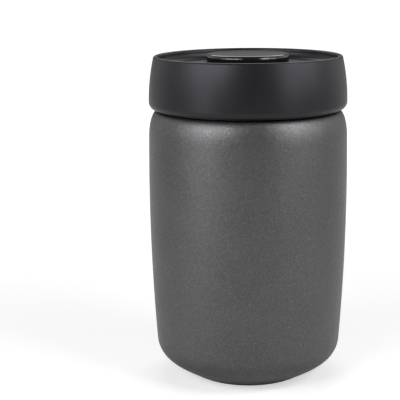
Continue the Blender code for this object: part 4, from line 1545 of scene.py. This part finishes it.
@dataclass
class Release(SubAssembly):
    """What lets air back in: the cam ring that turns, and the stem, seal and spring it works."""

    body: str = "release"
    ring_span: Span = spanned("release_ring")
    stem_span: Span = spanned("release_stem")
    seal_span: Span = spanned("release_seal")
    spring_span: Span = spanned("release_spring")
    bore: float = 0.0262
    wall: float = 0.0018
    flange_low: float = 0.1742
    flange: float = 0.0020
    lift: float = 0.0016
    ramp_start: float = -90.0
    ramp_turn: float = -45.0
    ramp_past: float = -8.0
    ramp_steps: int = 28
    keys: int = 3
    key_half: float = 0.0017
    key_depth: float = 0.0016
    key_top: float = 0.1842
    stem_radius: float = 0.0014
    stem_tip: float = 0.0080
    collar: float = 0.0015
    foot: float = 0.0008
    foot_radius: float = 0.0033
    seal_rim: float = 0.0008
    seal_hollow: float = 0.0002
    wire_radius: float = 0.0003
    spring_turns: int = 7

    def build(self) -> None:
        """Builds the ring, the stem with its seal, and the spring over it."""
        self.build_ring()
        self.build_stem()
        self.build_spring()

    def build_ring(self) -> None:
        """Builds the cam ring, with its rising track and the keys for the button's skirt."""
        low, top, edge = self.ring_span.ends()
        outer, track = self.bore + self.wall, self.flange_low + self.flange
        ring = Lathe(Sides.BROAD).turn([
            Corner(self.bore, top, PLAIN), Corner(outer, top, PLAIN), Corner(outer, track, SOFT),
            Corner(edge, track, PLAIN), Corner(edge, self.flange_low, PLAIN),
            Corner(outer, self.flange_low, PLAIN), Corner(outer, low, PLAIN),
            Corner(self.bore, low, PLAIN),
        ])
        ring.combine(self.ramp(self.bore + self.wall / 2, edge, track), Cut.JOIN)
        key = Bench.box(
            (self.bore - self.key_depth, -self.key_half, low + self.flange / 2),
            (self.bore + self.wall / 2, self.key_half, self.key_top),
        )
        ring.repeat(key.ease(PLAIN), around(self.keys), Cut.JOIN)
        self.add(ring.finish("cam_ring"), GREY_PLASTIC, "release_ring")

    def ramp(self, inner: float, outer: float, track: float) -> Bench:
        """Spins the track's section round the axis and raises its top step by step.

        Args:
            inner: the radius of its inner side.
            outer: the radius of its outer side.
            track: the height that it rises from.

        Returns:
            The bench with the ramp.
        """
        base = track - self.flange / 2
        Bench.clear()
        bpy.ops.mesh.primitive_plane_add(
            size=1, location=((inner + outer) / 2, 0, (base + track) / 2), rotation=(pi / 2, 0, 0)
        )
        ramp = Bench(bpy.context.object)
        ramp.obj.scale = (outer - inner, track - base, 1)
        ramp.settle()
        ramp.turn(radians(self.ramp_start))
        ramp.edit()
        bpy.ops.mesh.select_all(action="SELECT")
        bpy.ops.mesh.spin(
            steps=self.ramp_steps, angle=radians(self.ramp_turn + self.ramp_past),
            center=(0, 0, 0), axis=(0, 0, 1),
        )
        ramp.clear()
        for vert in ramp.obj.data.vertices:
            if vert.co.z > (base + track) / 2:
                turned = degrees(atan2(vert.co.y, vert.co.x)) - self.ramp_start
                turned = (turned + 180) % 360 - 180
                vert.co.z += self.lift * min(max(turned / self.ramp_turn, 0.0), 1.0)
        ramp.edit()
        ramp.weld()
        ramp.close_ends()
        ramp.clear()
        return ramp

    def build_stem(self) -> None:
        """Builds the stem that the cam lifts, and the seal disc under it."""
        place = self.stem_span.middle
        low, top, edge = self.stem_span.ends()
        collar_top = top - self.stem_tip
        stem = Lathe(Sides.SMALL, place).turn([
            Corner(0, top), Corner(self.stem_radius, top, SOFT),
            Corner(self.stem_radius, collar_top, PLAIN), Corner(edge, collar_top, PLAIN),
            Corner(edge, collar_top - self.collar, PLAIN),
            Corner(self.stem_radius, collar_top - self.collar, PLAIN),
            Corner(self.stem_radius, low + self.foot, PLAIN),
            Corner(self.foot_radius, low + self.foot, FINE), Corner(self.foot_radius, low, FINE),
            Corner(0, low),
        ])
        self.add(stem.finish("lift_stem"), WHITE_PLASTIC, "release_stem", body="stem")

        low, top, edge = self.seal_span.ends()
        rim, floor = edge - self.seal_rim, low + self.seal_hollow
        seal = Lathe(Sides.SMALL, place).turn([
            Corner(0, top), Corner(edge, top, PLAIN), Corner(edge, low, PLAIN),
            Corner(rim, low, CRISP), Corner(rim - self.seal_hollow, floor, CRISP), Corner(0, floor),
        ])
        self.add(seal.finish("stem_seal"), PAD_BLACK, "release_seal", body="stem")

    def build_spring(self) -> None:
        """Winds the small spring, at its length at rest; it is not made to shorten as the stem is
        lifted.
        """
        low, top = self.spring_span.bottom, self.spring_span.top
        place = self.stem_span.middle
        radius = self.spring_span.radius - self.wire_radius
        spring = Coil(radius, self.wire_radius, low, top, self.spring_turns, place).wind()
        obj = spring.finish("stem_spring", Shading.ROUND)
        self.add(obj, SPRING_STEEL, "release_spring", body="lid")
        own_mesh(obj)


@dataclass
class Button(SubAssembly):
    """The polished button: a dished top, a soft edge and a skirt with three key slots."""

    body: str = "button"
    span: Span = spanned("button_cap")
    core_span: Span = spanned("button_core")
    edge: float = 0.0021
    ring: float = 0.0009
    dish_step: float = 0.0004
    dish_slope: float = 0.0030
    dish_depth: float = 0.0009
    dish_rings: tuple[float, ...] = (0.12, 0.25, 0.38, 0.5, 0.62, 0.74, 0.86, 0.95)
    wall: float = 0.0018
    deck: float = 0.0033
    catch: float = 0.0005
    slot_top: float = 0.1927
    slot_half: float = 0.0022
    slots: int = 3

    def build(self) -> None:
        """Builds the cap and cuts its key slots."""
        skirt, top, radius = self.span.ends()
        ring = radius - self.edge - self.ring
        bore = radius - self.wall
        under = self.core_span.top - INSERT_PLATE - GAP
        line = [Corner(0, top - self.dish_depth)]
        dish = ring - self.dish_slope
        for share in self.dish_rings:
            sink = self.dish_depth + (self.dish_step - self.dish_depth) * share**2
            line.append(Corner(dish * share, top - sink))
        line += [Corner(dish, top - self.dish_step, FULL), Corner(ring, top, PLAIN)]
        middle = (radius - self.edge, top - self.edge)
        line += arc(middle, (self.edge, self.edge), 90, 0, 10)
        line += [Corner(radius, skirt, PLAIN), Corner(bore, skirt, PLAIN)]
        catch = bore - self.catch
        line += [Corner(bore, under - 3 * self.catch), Corner(catch, under - 2 * self.catch)]
        line += [Corner(catch, under - self.catch), Corner(bore, under)]
        line += [Corner(bore, top - self.deck, EASY), Corner(0, top - self.deck)]
        cap = Lathe(Sides.BROAD).turn(line)
        slot = Bench.box(
            (catch, -self.slot_half, skirt - self.wall),
            (radius + self.wall, self.slot_half, self.slot_top),
        )
        cap.repeat(slot, around(self.slots), Cut.AWAY)
        self.add(cap.finish("button_top"), BUTTON_BLACK, "button_cap")


@dataclass
class Plunger(SubAssembly):
    """What the button drives: its insert with the rod, the piston, and the return spring."""

    body: str = "button"
    core_span: Span = spanned("button_core")
    piston_span: Span = spanned("piston")
    seal_span: Span = spanned("piston_seal")
    screw_span: Span = spanned("piston_screw")
    spring_span: Span = spanned("return_spring")
    rod_radius: float = 0.0060
    rod_bore: float = 0.0034
    rod_fillet: float = 0.0009
    rod_floor: float = 0.0030
    windows: int = 6
    window_circle: float = 0.0140
    window_radius: float = 0.0032
    disc: float = 0.0014
    groove: float = 0.0030
    # The lip of the piston's seal, in thirds of the seal's height.
    lip_flare: float = 0.35
    lip_outside: float = 1.6
    lip_tip: float = 0.6
    lip_inset: float = 1.1
    lip_inside: float = 1.9
    wire_radius: float = 0.0006
    spring_turns: int = 6
    stroke: float = 0.0080

    def build(self) -> None:
        """Builds the insert, the piston with its seal and screw, and the return spring."""
        self.build_insert()
        self.build_piston()
        self.build_spring()

    def build_insert(self) -> None:
        """Builds the insert: a plate with windows, and the hollow rod under it."""
        low, top, edge = self.core_span.ends()
        under, floor = top - INSERT_PLATE, low + self.rod_floor
        insert = Lathe(Sides.BROAD).turn([
            Corner(self.rod_bore, top, PLAIN), Corner(edge, top, PLAIN), Corner(edge, under, SOFT),
            Corner(self.rod_radius, under, self.rod_fillet), Corner(self.rod_radius, low, PLAIN),
            Corner(SCREW_HOLE, low, FINE), Corner(SCREW_HOLE, floor),
            Corner(self.rod_bore, floor, PLAIN),
        ])
        angles = around(self.windows, pi / self.windows)
        places = [on_circle(self.window_circle, angle) for angle in angles]
        insert.drill(self.window_radius, under - INSERT_PLATE, top + INSERT_PLATE, places, Sides.FINE)
        self.add(insert.finish("button_insert"), INNER_BLACK, "button_core")

    def build_piston(self) -> None:
        """Builds the piston, the lip seal in its groove and the screw that holds it."""
        low, top, edge = self.piston_span.ends()
        neck = edge - self.groove
        blind = low + self.disc - GAP
        piston = Lathe(Sides.BROAD).turn([
            Corner(0, blind), Corner(SCREW_HOLE, blind), Corner(SCREW_HOLE, top, FINE),
            Corner(edge, top, SOFT), Corner(edge, top - self.disc, PLAIN),
            Corner(neck, top - self.disc, FINE), Corner(neck, low + self.disc, FINE),
            Corner(edge, low + self.disc, PLAIN), Corner(edge, low, SOFT), Corner(0, low),
        ])
        self.add(piston.finish("piston_head"), WHITE_PLASTIC, "piston")

        low, top, tip = self.seal_span.ends()
        inner, third = neck + GAP, (top - low) / 3
        seal = Lathe(Sides.MEDIUM).turn([
            Corner(inner, low + 2 * third, FINE), Corner(inner, low, FINE),
            Corner(edge - self.groove / 3, low, SOFT),
            Corner(tip - self.lip_flare * third, low + self.lip_outside * third),
            Corner(tip, top - FINE), Corner(tip - CRISP, top),
            Corner(tip - self.lip_tip * third, top),
            Corner(tip - self.lip_inset * third, low + self.lip_inside * third),
            Corner(edge - self.groove / 2, low + third, PLAIN),
        ])
        self.add(seal.finish("piston_lip", Shading.SOFT), PAD_BLACK, "piston_seal")

        seat = self.core_span.bottom + self.rod_floor + GAP
        screw = Screw().model(seat, seat - self.screw_span.bottom)
        self.add(screw.finish("piston_bolt"), SPRING_STEEL, "piston_screw")

    def build_spring(self) -> None:
        """Winds the return spring, at its length at rest; it is not made to shorten as the button is
        pressed.
        """
        low, top = self.spring_span.bottom, self.spring_span.top
        radius = self.spring_span.radius - self.wire_radius
        spring = Coil(radius, self.wire_radius, low, top, self.spring_turns).wind()
        obj = spring.finish("lifting_spring", Shading.ROUND)
        self.add(obj, SPRING_STEEL, "return_spring", body="lid")
        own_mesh(obj)


# Light, floor and camera


@dataclass(frozen=True)
class Softbox:
    """A soft rectangular lamp that faces the canister."""

    name: str
    azimuth: float
    elevation: float
    distance: float
    width: float
    height: float
    power: float

    def hang(self, target: Vector) -> None:
        """Hangs the lamp where it faces a point."""
        lamp = bpy.data.lights.new(self.name, "AREA")
        lamp.shape = "RECTANGLE"
        lamp.size, lamp.size_y = self.width, self.height
        lamp.energy = self.power
        obj = bpy.data.objects.new(self.name, lamp)
        bpy.context.scene.collection.objects.link(obj)
        turn, rise = radians(self.azimuth), radians(self.elevation)
        way = Vector((sin(turn) * cos(rise), -cos(turn) * cos(rise), sin(rise)))
        obj.location = target + way * self.distance
        obj.rotation_euler = (-way).to_track_quat("-Z", "Y").to_euler()


@dataclass
class Studio:
    """The white room: a floor that keeps the shadow, soft lamps and a world to mirror."""

    centre: Vector = field(default_factory=lambda: Vector((0, 0, 0.11)))
    floor_reach: float = 12.0
    floor_sides: int = 64
    floor_height: float = -0.0002
    floor_shade: float = 0.8
    floor_mirrored: float = 0.27
    floor_mirrored_behind: float = 0.55
    floor_near: float = 0.55
    floor_far: float = 1.1
    floor_fade: Point = (0.15, 1.2)
    floor_fade_behind: Point = (0.1, 0.9)
    # Where the floor's glow in reflections fades out round the base: painted contact shade in the
    # body's lower edge.
    floor_painted_shade_under: Point = (0.02, 0.12)
    broad_wall: Point = (-0.2, 0.7)
    side_wall: Point = (0.3, 0.9)
    mirrored_behind: float = 0.19
    mirrored_front: float = 0.11
    mirrored_left: float = 0.55
    mirrored_right: float = 0.72
    lamps: tuple[Softbox, ...] = (
        Softbox("softbox_left_high", -46, 28, 0.95, 0.56, 0.34, 2.90),
        Softbox("softbox_left_near", -26, 30, 0.95, 0.30, 0.34, 1.15),
        Softbox("softbox_left_side", -70, 22, 0.95, 0.30, 0.34, 0.60),
        Softbox("softbox_left_low", -50, 5, 0.95, 0.32, 0.32, 0.70),
        Softbox("softbox_right_high", 56, 40, 0.95, 0.40, 0.30, 2.45),
        Softbox("softbox_right_side", 76, 22, 0.95, 0.30, 0.34, 1.00),
        Softbox("softbox_right_low", 50, 17, 0.95, 0.34, 0.30, 1.00),
        Softbox("softbox_behind", 180, 45, 0.95, 0.80, 0.50, 2.90),
    )

    def build(self) -> None:
        """Builds the floor, the world and the lamps."""
        self.build_floor()
        self.build_world()
        for lamp in self.lamps:
            lamp.hang(self.centre)

    def build_floor(self) -> None:
        """Builds the floor, which looks white to the camera and keeps the shadow; the glow it shows in
        reflections has painted shade near the base.
        """
        Bench.clear()
        bpy.ops.mesh.primitive_circle_add(
            vertices=self.floor_sides, radius=self.floor_reach, fill_type="NGON",
            location=(0, 0, self.floor_height),
        )
        floor = Bench(bpy.context.object).finish("studio_floor")
        material = bpy.data.materials.new("studio_floor")
        material.use_nodes = True
        graph = Graph(material.node_tree)
        material.node_tree.nodes.clear()
        rays = graph.node("ShaderNodeLightPath")
        x, y, _ = graph.parts(graph.place())
        reach = (x * x + y * y) ** 0.5
        far = reach.between(*self.floor_fade)
        seen = rays["Is Camera Ray"] * (far * (self.floor_far - self.floor_near) + self.floor_near)
        gain = self.floor_mirrored_behind - self.floor_mirrored
        behind = y.between(*self.floor_fade_behind) * gain
        # Near the base the mirrored glow fades out: painted contact shade, which darkens the body's
        # lower edge in reflection.
        mirrored = (behind + self.floor_mirrored) * reach.between(*self.floor_painted_shade_under)
        shade = rgb(WHITE, self.floor_shade)
        matt = graph.node("ShaderNodeBsdfDiffuse", None, {"Color": shade})["BSDF"]
        strength = seen + rays["Is Glossy Ray"] * mirrored
        glow = graph.node("ShaderNodeEmission", None, {"Strength": strength})["Emission"]
        both = graph.node("ShaderNodeAddShader", None, {"Shader": matt, "Shader_001": glow})
        graph.node("ShaderNodeOutputMaterial", None, {"Surface": both["Shader"]})
        floor.data.materials.append(material)

    def build_world(self) -> None:
        """Builds the world: white where it is seen, and pale walls where it is mirrored."""
        world = bpy.data.worlds.new("studio_world")
        bpy.context.scene.world = world
        world.use_nodes = True
        graph = Graph(world.node_tree)
        world.node_tree.nodes.clear()
        rays = graph.node("ShaderNodeLightPath")
        x, y, _ = graph.parts(graph.node("ShaderNodeTexCoord")["Generated"])
        walls = y.between(*self.broad_wall) * self.mirrored_behind
        walls += (0.0 - y).between(*self.broad_wall) * self.mirrored_front
        walls += (0.0 - x).between(*self.side_wall) * self.mirrored_left
        walls += x.between(*self.side_wall) * self.mirrored_right
        seen = graph.math("MAXIMUM", rays["Is Camera Ray"], rays["Is Transmission Ray"])
        strength = seen + rays["Is Glossy Ray"] * walls
        looks = {"Color": rgb(WHITE), "Strength": strength}
        glow = graph.node("ShaderNodeBackground", None, looks)["Background"]
        graph.node("ShaderNodeOutputWorld", None, {"Surface": glow})


@dataclass
class Viewpoint:
    """The camera where the photograph was taken from."""

    place: tuple[float, float, float] = (0.0, -0.7199, 0.2636)
    lens: float = 103.7
    sensor: float = 36.0
    near: float = 0.02
    far: float = 20.0
    pitch: float = 11.93
    yaw: float = -2.427
    roll: float = 0.528

    def build(self) -> None:
        """Sets the camera up."""
        pitch, yaw, roll = radians(self.pitch), radians(self.yaw), radians(self.roll)
        forward = Vector((sin(yaw) * cos(pitch), cos(yaw) * cos(pitch), -sin(pitch)))
        level = forward.cross(Vector((0, 0, 1))).normalized()
        down = forward.cross(level)
        right = level * cos(roll) + down * sin(roll)
        up = level * sin(roll) - down * cos(roll)
        data = bpy.data.cameras.new("camera")
        data.lens = self.lens
        data.sensor_width = self.sensor
        data.clip_start, data.clip_end = self.near, self.far
        camera = bpy.data.objects.new("camera", data)
        bpy.context.scene.collection.objects.link(camera)
        turn = Matrix((right, up, -forward)).transposed().to_4x4()
        camera.matrix_world = Matrix.Translation(self.place) @ turn
        bpy.context.scene.camera = camera


def main() -> None:
    """Builds everything in order and reports each piece."""
    logging.basicConfig(level=logging.INFO, format="%(message)s")
    Viewpoint().build()
    Studio().build()
    for assembly in (SteelBody(), LidShell(), LidBase(), Pump(), Release(), Button(), Plunger()):
        assembly.build()
        for piece in assembly.made:
            faces = len(piece.data.polygons)
            log.info("%s: %d faces, in %s", piece.name, faces, piece.active_material.name)
    bpy.context.scene.view_settings.view_transform = "Standard"


if __name__ == "__main__":
    main()
